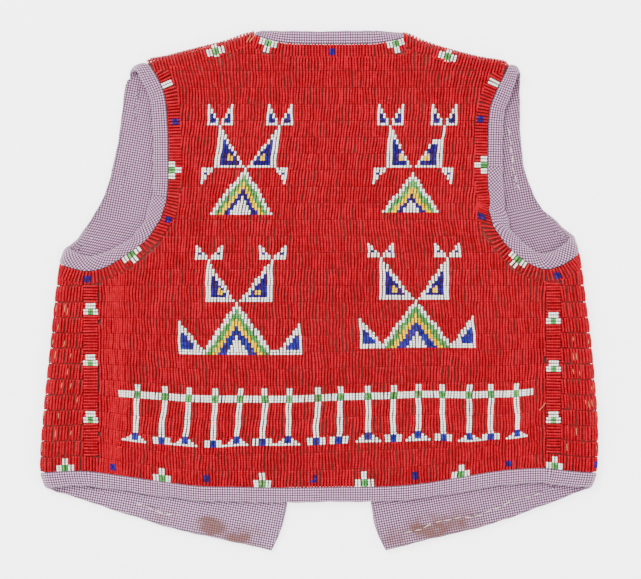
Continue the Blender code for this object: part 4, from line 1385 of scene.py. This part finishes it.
def tube(name, stations, looks, far, turned=False, turn=0.0):
    """A closed band swept through stations of points, with woven UVs in millimetres, turned by station."""
    count, around = stations.shape[:2]
    number = np.arange(count * around).reshape(count, around)
    after = np.roll(number, -1, axis=1)
    quads = np.stack([number[:-1], number[1:], after[1:], after[:-1]], -1).reshape(-1, 4)
    girth = np.linalg.norm(np.roll(stations, -1, axis=1) - stations, axis=2)
    across = np.concatenate([np.zeros((count, 1)), np.cumsum(girth, axis=1)], 1).mean(0)
    far = np.asarray(far)[:, None]
    low = np.stack(np.broadcast_arrays(across[:-1], far), -1)
    high = np.stack(np.broadcast_arrays(across[1:], far), -1)
    weave = np.stack([low[:-1], low[1:], high[1:], high[:-1]], -2).reshape(-1, 4, 2)
    weave = rotated(weave, np.repeat(np.broadcast_to(turn, (count,))[:-1], around)[:, None])
    if turned:
        quads, weave = quads[:, ::-1], weave[:, ::-1]
    made = piece_of(name, stations.reshape(-1, 3), quads, looks, layers={"weave": weave})
    ends = [number[0], number[-1][::-1]] if turned else [number[0][::-1], number[-1]]
    cap(made.data, ends)
    return made


def cap(mesh, rings):
    """Closes the ends of a tube."""
    shape = bmesh.new()
    shape.from_mesh(mesh)
    shape.verts.ensure_lookup_table()
    for ring in rings:
        shape.faces.new([shape.verts[int(i)] for i in ring])
    bmesh.ops.recalc_face_normals(shape, faces=shape.faces)
    for face in shape.faces:
        face.smooth = True
    shape.to_mesh(mesh)
    shape.free()


# Cross-section of a binding: share of its width from the beaded edge, and share of its thickness
BINDING_SECTION = np.array([
    (0.0, 0.05), (0.05, -0.06), (0.18, -0.14), (0.35, -0.12), (0.55, -0.10), (0.75, -0.06), (0.88, 0.04),
    (0.96, 0.18), (1.0, 0.38), (1.0, 0.6), (0.97, 0.82), (0.9, 0.96), (0.78, 1.0), (0.4, 1.0), (0.0, 1.0),
])

# The deepest share of thickness that is still the face, and the spacing of a strip's stations
FACE_DEPTH = 0.3
BAND_STEP = 1.6

# Waves by height, wave lengths along a strip and across it, and phase: puckers of a face, and an edge
ENDLESS = 1e9
BINDING_PUCKER = [(0.16, 4.3, 30.0, 0.0), (0.13, 7.1, -21.0, 1.2), (0.2, 17.0, 14.0, 2.0)]
BINDING_WAVE = [(0.22, 23.0, ENDLESS, 0.3), (0.16, 11.0, ENDLESS, 1.7)]
HEM_PUCKER = [(0.14, 4.3, 30.0, 0.0), (0.12, 7.1, -21.0, 1.2), (0.22, 19.0, 14.0, 2.0)]
HEM_WAVE = [(0.25, 31.0, ENDLESS, 0.3), (0.15, 13.0, ENDLESS, 1.7)]


def puckered(far, thickness, waves):
    """Depths round a binding's cross-section at each station, its face puckered more towards its edge."""
    share, deep = BINDING_SECTION.T
    pucker = wave(far[:, None], share * BINDING, waves)
    thick = np.broadcast_to(thickness, far.shape)[:, None]
    return deep * thick - np.where(deep < FACE_DEPTH, pucker, 0.0) * np.minimum(1.0, 0.35 + share)


def wavy(far, waves, width=1.0):
    """How much further out a binding's edge waves at each station, growing with the share of its width."""
    share = BINDING_SECTION[:, 0]
    return (wave(far, 0 * far, waves) / width)[:, None] * share ** 2 * 0.6


def binding(name, node, path, run, fold, thickness, look, turn=0.0):
    """A turned-out strip of check cotton, puckered where it is sewn: out along a run from each point."""
    far = distances(path + run / 2)
    spread = BINDING_SECTION[:, 0] + wavy(far, BINDING_WAVE, BINDING)
    spots = path[:, None, :] + run[:, None, :] * spread[..., None]
    points = fold(spots[..., 0], spots[..., 1], puckered(far, thickness, BINDING_PUCKER))
    points[..., 2] = np.maximum(points[..., 2], 0.05)
    made = tube(name, points, [look], far, turn=turn)
    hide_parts(node)


def rim_thickness(reach):
    """How thick a binding is: that of the hide on the upper layer, with the lining in it on the lower."""
    return HIDE + (RIM - HIDE) * ease((reach - BEND_LENGTH / 2) / (BEND_LENGTH / 2))


def armhole_run(side):
    """The beaded edge of an armhole, with its end over the shoulder, and how its binding lies out from it."""
    path = armhole_path(side, BAND_STEP)
    far = distances(path)
    turned = ease(far / TURN_IN)[:, None]
    run = np.array([[1.0, 0.0]]) * (1 - turned) + normals(path) * turned
    run = np.where(turned < 1, run / np.linalg.norm(run, axis=1)[:, None], run)
    run = run * (SHOULDER_BINDING[side] + (BINDING - SHOULDER_BINDING[side]) * turned)
    first = side * (fold_start(side, path[0, 1]) + path[0, 0])
    starts, ends = [], []
    for bend in OVER_SHOULDER:
        for found, x in ((starts, first), (ends, first + side * SHOULDER_BINDING[side])):
            found.append((x, float(shoulder_start(x)) + SHOULDER_LENGTH * bend))
    starts = unfold_top(side, starts)
    ends = unfold_top(side, ends)
    return np.vstack([starts, path]), np.vstack([ends - starts, run])


# Along, where each armhole's binding is pieced: below, its cloth is cut on the bias, by so much
BIAS_BELOW = {-1: 56.3, 1: 75.4}
BIAS = math.radians(36.0)


def bindings():
    """The turned-out strips round the armholes, the fronts, the neck and the hem."""
    for side, word in SIDES:
        fold = partial(place, side)
        path, run = armhole_run(side)
        on_bias = np.maximum.accumulate(path[:, 1] < BIAS_BELOW[side])
        binding("armhole_edge_" + word, "armhole_binding_" + word, path, run, fold,
                rim_thickness(path[:, 0]), GINGHAM, np.where(on_bias, BIAS, 0.0))
        path = front_path(side)
        binding("front_edge_" + word, "front_binding_" + word, path, -BINDING * normals(path), fold,
                rim_thickness(path[:, 0]), FRONT_GINGHAM[side])
    path = curve(NECK_EDGE, BAND_STEP)
    width = np.minimum(BINDING, follow(SHOULDER_FOLD, path[:, 0]) - path[:, 1])
    binding("neck_edge", "neck_binding", path, normals(path) * width[:, None], over_top, HIDE, GINGHAM)
    hem_edge()


def hem_edge():
    """The turned-out strip below the back's beads, from one side fold to the other."""
    halves = {}
    for side, _ in SIDES:
        halves[side] = curve(hem_at_side(side, (138.0, 146.0, 154.0)), BAND_STEP)[1:]
    x = np.linspace(-137.0, 137.0, 172)
    middle = np.stack([x, follow(HEM_EDGE, x)], 1)
    stations = []
    far = []
    for number, (side, path) in enumerate(((-1, halves[-1][::-1]), (0, middle), (1, halves[1]))):
        first = far[-1] if far else 0.0
        steps = np.linalg.norm(np.diff(path, axis=0), axis=1)
        run = first + np.concatenate([[BAND_STEP * (number > 0)], steps]).cumsum()
        along = path[:, 1:] - BINDING * BINDING_SECTION[:, 0] - wavy(run, HEM_WAVE)
        fold = partial(place, side) if side else over_top
        stations.append(fold(path[:, :1], along, puckered(run, HIDE, HEM_PUCKER)))
        far.extend(run)
    made = tube("hem_edge", np.concatenate(stations), [GINGHAM], far)
    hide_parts("hem_binding")


# Creases of the linings: height, wave lengths across and along, phase
LINING_CREASES = [
    (0.28, 37.0, 90.0, 0.3), (0.2, 19.0, -55.0, 1.4), (0.14, -11.0, 23.0, 2.2), (0.1, 7.5, 9.5, 0.9),
]


# How the linings' weave is turned, over what distance they climb on to a binding and how far
LINING_TURN = math.radians(11.0)
CLIMB_WIDTH = 1.5
CLIMB = 0.17


def lining(side, word):
    """The check cotton inside a front, on over the inner faces of the bindings nearly to their edges."""
    def reach(line):
        return line[:, 0]

    beaded_arm = armhole_path(side, 3.0)
    beaded_front = front_path(side)
    arm = np.vstack([beside(beaded_arm, BINDING - LINING_SHORT), unfold_bottom(side, [LINING_TIP[side]])])
    arm = split(arm, reach, LINING_START)[1]
    edge = split(front_path(side, LINING_SHORT - BINDING), reach, LINING_START)[1]
    arm, shoulder, edge = under_shoulder(side, arm, edge, LINING_UP)
    outline = joined(arm, shoulder, edge[::-1])
    beaded_arm = beaded_arm[beaded_arm[:, 0] > BEND_LENGTH * 0.45]
    above = [beaded_arm[-1] + (0.0, 30.0), beaded_front[-1] + (0.0, 30.0)]
    inner = np.vstack([beaded_arm, above, beaded_front[::-1]])

    def over_binding(spots):
        """How far the lining has climbed on to a binding."""
        out = np.minimum(gap_to(beaded_arm, spots), gap_to(beaded_front, spots))
        return ease(out * ~within(inner, spots) / CLIMB_WIDTH)

    def top(spots):
        soft = ease(gap_to(np.vstack([outline, outline[:1]]), spots) / 6.0)
        rise = wave(spots[:, 0], spots[:, 1], LINING_CREASES) * soft
        climbed = over_binding(spots)
        depth = RIM + np.minimum(rise, 0.0) * (1 - climbed) + 0.05 + CLIMB * climbed
        return place(side, spots[:, 0], spots[:, 1], depth)

    def underside(spots):
        depth = HIDE + SEAM + (LINING + 0.03) * over_binding(spots)
        return place(side, spots[:, 0], spots[:, 1], depth)

    piece, size, area = sheet_piece(
        "lining_" + word, outline, LINING_GRID, top, underside,
        [FRONT_GINGHAM[side]], turn=LINING_TURN,
    )
    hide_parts("front_lining_" + word)


# Threads: upwards, how thick they are, and how far stitches stand off the cloth
UP = np.array([0.0, 0.0, 1.0])
THREAD_THICK = 0.24
STITCH_LIFT = 0.25


def stitches(name, spots, look):
    """Short stitches of thread, each a low arch between two points."""
    points = []
    faces = []
    arch = np.linspace(0.0, 1.0, 5)
    turn = np.linspace(0.0, 2 * math.pi, 6)[:-1]
    count = 0
    for start, end in spots:
        run = end - start
        side = np.cross(run / np.linalg.norm(run), UP)
        middle = start + run * arch[:, None]
        middle[:, 2] += THREAD_THICK * 0.9 * np.sin(math.pi * arch)
        girth = THREAD_THICK * (0.45 + 0.55 * np.sin(math.pi * arch))
        round_it = np.cos(turn)[:, None] * side + np.sin(turn)[:, None] * UP
        ring = middle[:, None, :] + girth[:, None, None] * round_it
        number = count + np.arange(ring.shape[0] * ring.shape[1]).reshape(ring.shape[:2])
        after = np.roll(number, -1, axis=1)
        faces.append(np.stack([number[:-1], after[:-1], after[1:], number[1:]], -1).reshape(-1, 4))
        points.append(ring.reshape(-1, 3))
        count += ring.shape[0] * ring.shape[1]
    return piece_of(name, np.concatenate(points), np.concatenate(faces), [look])


# Across, from and to where the basting of each front runs, its stitches' spacing and how it wanders
BASTED = {-1: (-112.0, -77.0), 1: (46.0, 139.0)}
BASTED_BELOW = -110.0
BASTING_STEP = 6.2
BASTING_WAVE = [(1.1, 43.0, ENDLESS, 0.4), (0.6, 17.0, ENDLESS, 2.0)]

# Tacking stitches on the right lining where the armhole shows it, by their ends in the photograph
TACKING = [
    ((509.0, 128.0), (510.5, 135.0)), ((510.0, 138.0), (512.0, 143.5)), ((511.0, 146.5), (512.0, 153.0)),
    ((513.0, 155.5), (513.5, 163.0)), ((512.5, 166.5), (515.0, 172.5)), ((516.0, 175.0), (517.0, 182.0)),
    ((518.0, 184.5), (520.5, 190.0)),
]


def basting():
    """Long uneven cream stitches along the lower edges of the fronts, and the tacking in the armhole."""
    spots = []
    for side, _ in SIDES:
        points, left, far = along_path(front_path(side, -0.5), BASTING_STEP)
        points = points + left * wave(far, 0 * far, BASTING_WAVE)[:, None]
        across = place(side, points[:, 0], points[:, 1], RIM)[:, 0]
        keep = (points[:, 1] < BASTED_BELOW) & between(across, *BASTED[side])
        for point, onward in zip(points[keep][:-1], points[keep][1:]):
            line = np.stack([point, point + (onward - point) * (0.5 + 0.3 * chance.random())])
            ends = place(side, line[:, 0], line[:, 1], RIM)
            ends[:, 2] += STITCH_LIFT
            spots.append(ends)
    for end in TACKING:
        across, along = unfold_bottom(1, [from_photo(*spot) for spot in end]).T
        ends = place(1, across, along, RIM)
        ends[:, 2] += STITCH_LIFT
        spots.append(ends)
    return stitches("basting", spots, CREAM_THREAD)


# Depth of a strand that lies between strings, and of one that lies on them
STRAND_DEPTH = -0.05
LOOSE_DEPTH = -0.9

# Loose strands at the neck corners and beside a strip, by their ends in the photograph
LOOSE_STRANDS = [
    ((246.5, 43.5), (251.0, 36.5)), ((249.5, 43.0), (254.5, 37.5)), ((404.5, 33.5), (407.5, 36.5)),
    ((538.5, 410.5), (543.0, 405.5)), ((543.0, 405.5), (545.0, 402.5)),
]


# Sinew between the loose strings: its first lane, the share of gaps that show none, how far round the
# fold it goes, and how far below the armhole's border it stops
FIRST_SINEW_LANE = 13
NO_SINEW = 0.86
SINEW_REACH = 8.0
SINEW_CLEAR = 4


def bead_threads():
    """Sinew that shows between the loose strings at the sides, and a few loose strands."""
    spots = []
    for side, _ in SIDES:
        for lane in range(FIRST_SINEW_LANE, HEM_LANE):
            first = side_lane(side, lane)[1]
            for reach in np.arange(first + SIDE_PITCH * 1.5, SINEW_REACH, SIDE_PITCH):
                if chance.random() < NO_SINEW:
                    continue
                start = lane + 0.1 + 0.4 * chance.random()
                number = np.array([start, start + 0.25 + 0.3 * chance.random()])
                along = lane_line(number, np.full(2, side * SIDE_X))
                if along[0] > ARMHOLE_AT_FOLD[side] - BORDER - SINEW_CLEAR:
                    continue
                spots.append(place(side, np.array([reach, reach + 0.2]), along, STRAND_DEPTH))
    for ends in LOOSE_STRANDS:
        across, along = np.array([from_photo(*end) for end in ends]).T
        spots.append(over_top(across, along, LOOSE_DEPTH))
    return stitches("bead_threads", spots, SINEW)


def build_vest():
    """Every piece of the vest, beads before the hide that they are sewn to."""
    back = field_beads()
    back.append(neck_and_shoulder_beads())
    for side, word in SIDES:
        armhole_beads(side, "beads_armhole_" + word)
        wrap_beads(side, "beads_side_" + word)
        strip = strip_hide(side, word)
        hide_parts("side_strip_" + word)
        beads_strip = strip_beads(side, "beads_strip_" + word)
        lining(side, word)
    hide_pieces()
    bindings()
    basting()
    bead_threads()


# The floor: half its width in metres, its two shades, and how brightly it shines by itself, so that it
# comes out near white as in the photograph
FLOOR_HALF = 4.0
FLOOR_PALE = (0.93, 0.93, 0.93)
FLOOR_DULL = (0.88, 0.88, 0.88)
FLOOR_GLOW = 2.4

# Light from all round, and lamps by name, place and size in metres, and power in watts
WORLD_COLOUR = (1.0, 1.0, 1.0, 1.0)
WORLD_LIGHT = 1.9
LAMPS = [
    ("key", (-0.55, 0.7, 1.3), 0.7, 30.0),
    ("fill", (0.8, -0.2, 1.2), 1.0, 9.0),
]

# The camera: lens and sensor in millimetres, its place and nearest distance in metres
LENS = 100.0
SENSOR = 36.0
NEAREST = 0.05
EYE = (0.0009, 0.00075, 1.076)


def floor():
    """A pale even floor."""
    look = Look("floor", 0.9)
    grain = look.noise(look.spot(), 60.0, 3.0)
    colour = look.blend(look.span(grain, 0.3, 0.7, 0.0, 0.15), FLOOR_PALE, FLOOR_DULL)
    look.bump(grain, 0.0001, 0.3)
    look.feed(look.shader.inputs["Emission Color"], colour)
    look.shader.inputs["Emission Strength"].default_value = FLOOR_GLOW
    look.finish(colour, look.span(grain, 0.3, 0.7, 0.85, 0.95))
    mesh = bpy.data.meshes.new("floor")
    corners = [(x * FLOOR_HALF, y * FLOOR_HALF, 0) for x, y in ((-1, -1), (1, -1), (1, 1), (-1, 1))]
    mesh.from_pydata(corners, [], [(0, 1, 2, 3)])
    mesh.materials.append(look.material)
    made = bpy.data.objects.new("floor", mesh)
    bpy.context.scene.collection.objects.link(made)


def lights():
    """Even light from all round, with two round lamps that face the vest."""
    world = bpy.data.worlds.new("studio")
    bpy.context.scene.world = world
    world.use_nodes = True
    background = world.node_tree.nodes["Background"]
    background.inputs[0].default_value = WORLD_COLOUR
    background.inputs[1].default_value = WORLD_LIGHT
    for name, spot, size, power in LAMPS:
        light = bpy.data.lights.new(name, "AREA")
        light.shape = "DISK"
        light.size = size
        light.energy = power
        lamp = bpy.data.objects.new(name, light)
        lamp.location = spot
        towards = math.atan2(math.hypot(spot[0], spot[1]), spot[2])
        lamp.rotation_euler = (towards, 0.0, math.atan2(spot[0], -spot[1]))
        bpy.context.scene.collection.objects.link(lamp)


def camera():
    """The photograph's view, straight down."""
    view = bpy.data.cameras.new("camera")
    view.lens = LENS
    view.sensor_width = SENSOR
    view.clip_start = NEAREST
    eye = bpy.data.objects.new("camera", view)
    eye.location = EYE
    bpy.context.scene.collection.objects.link(eye)
    bpy.context.scene.camera = eye


camera()
floor()
lights()
build_vest()
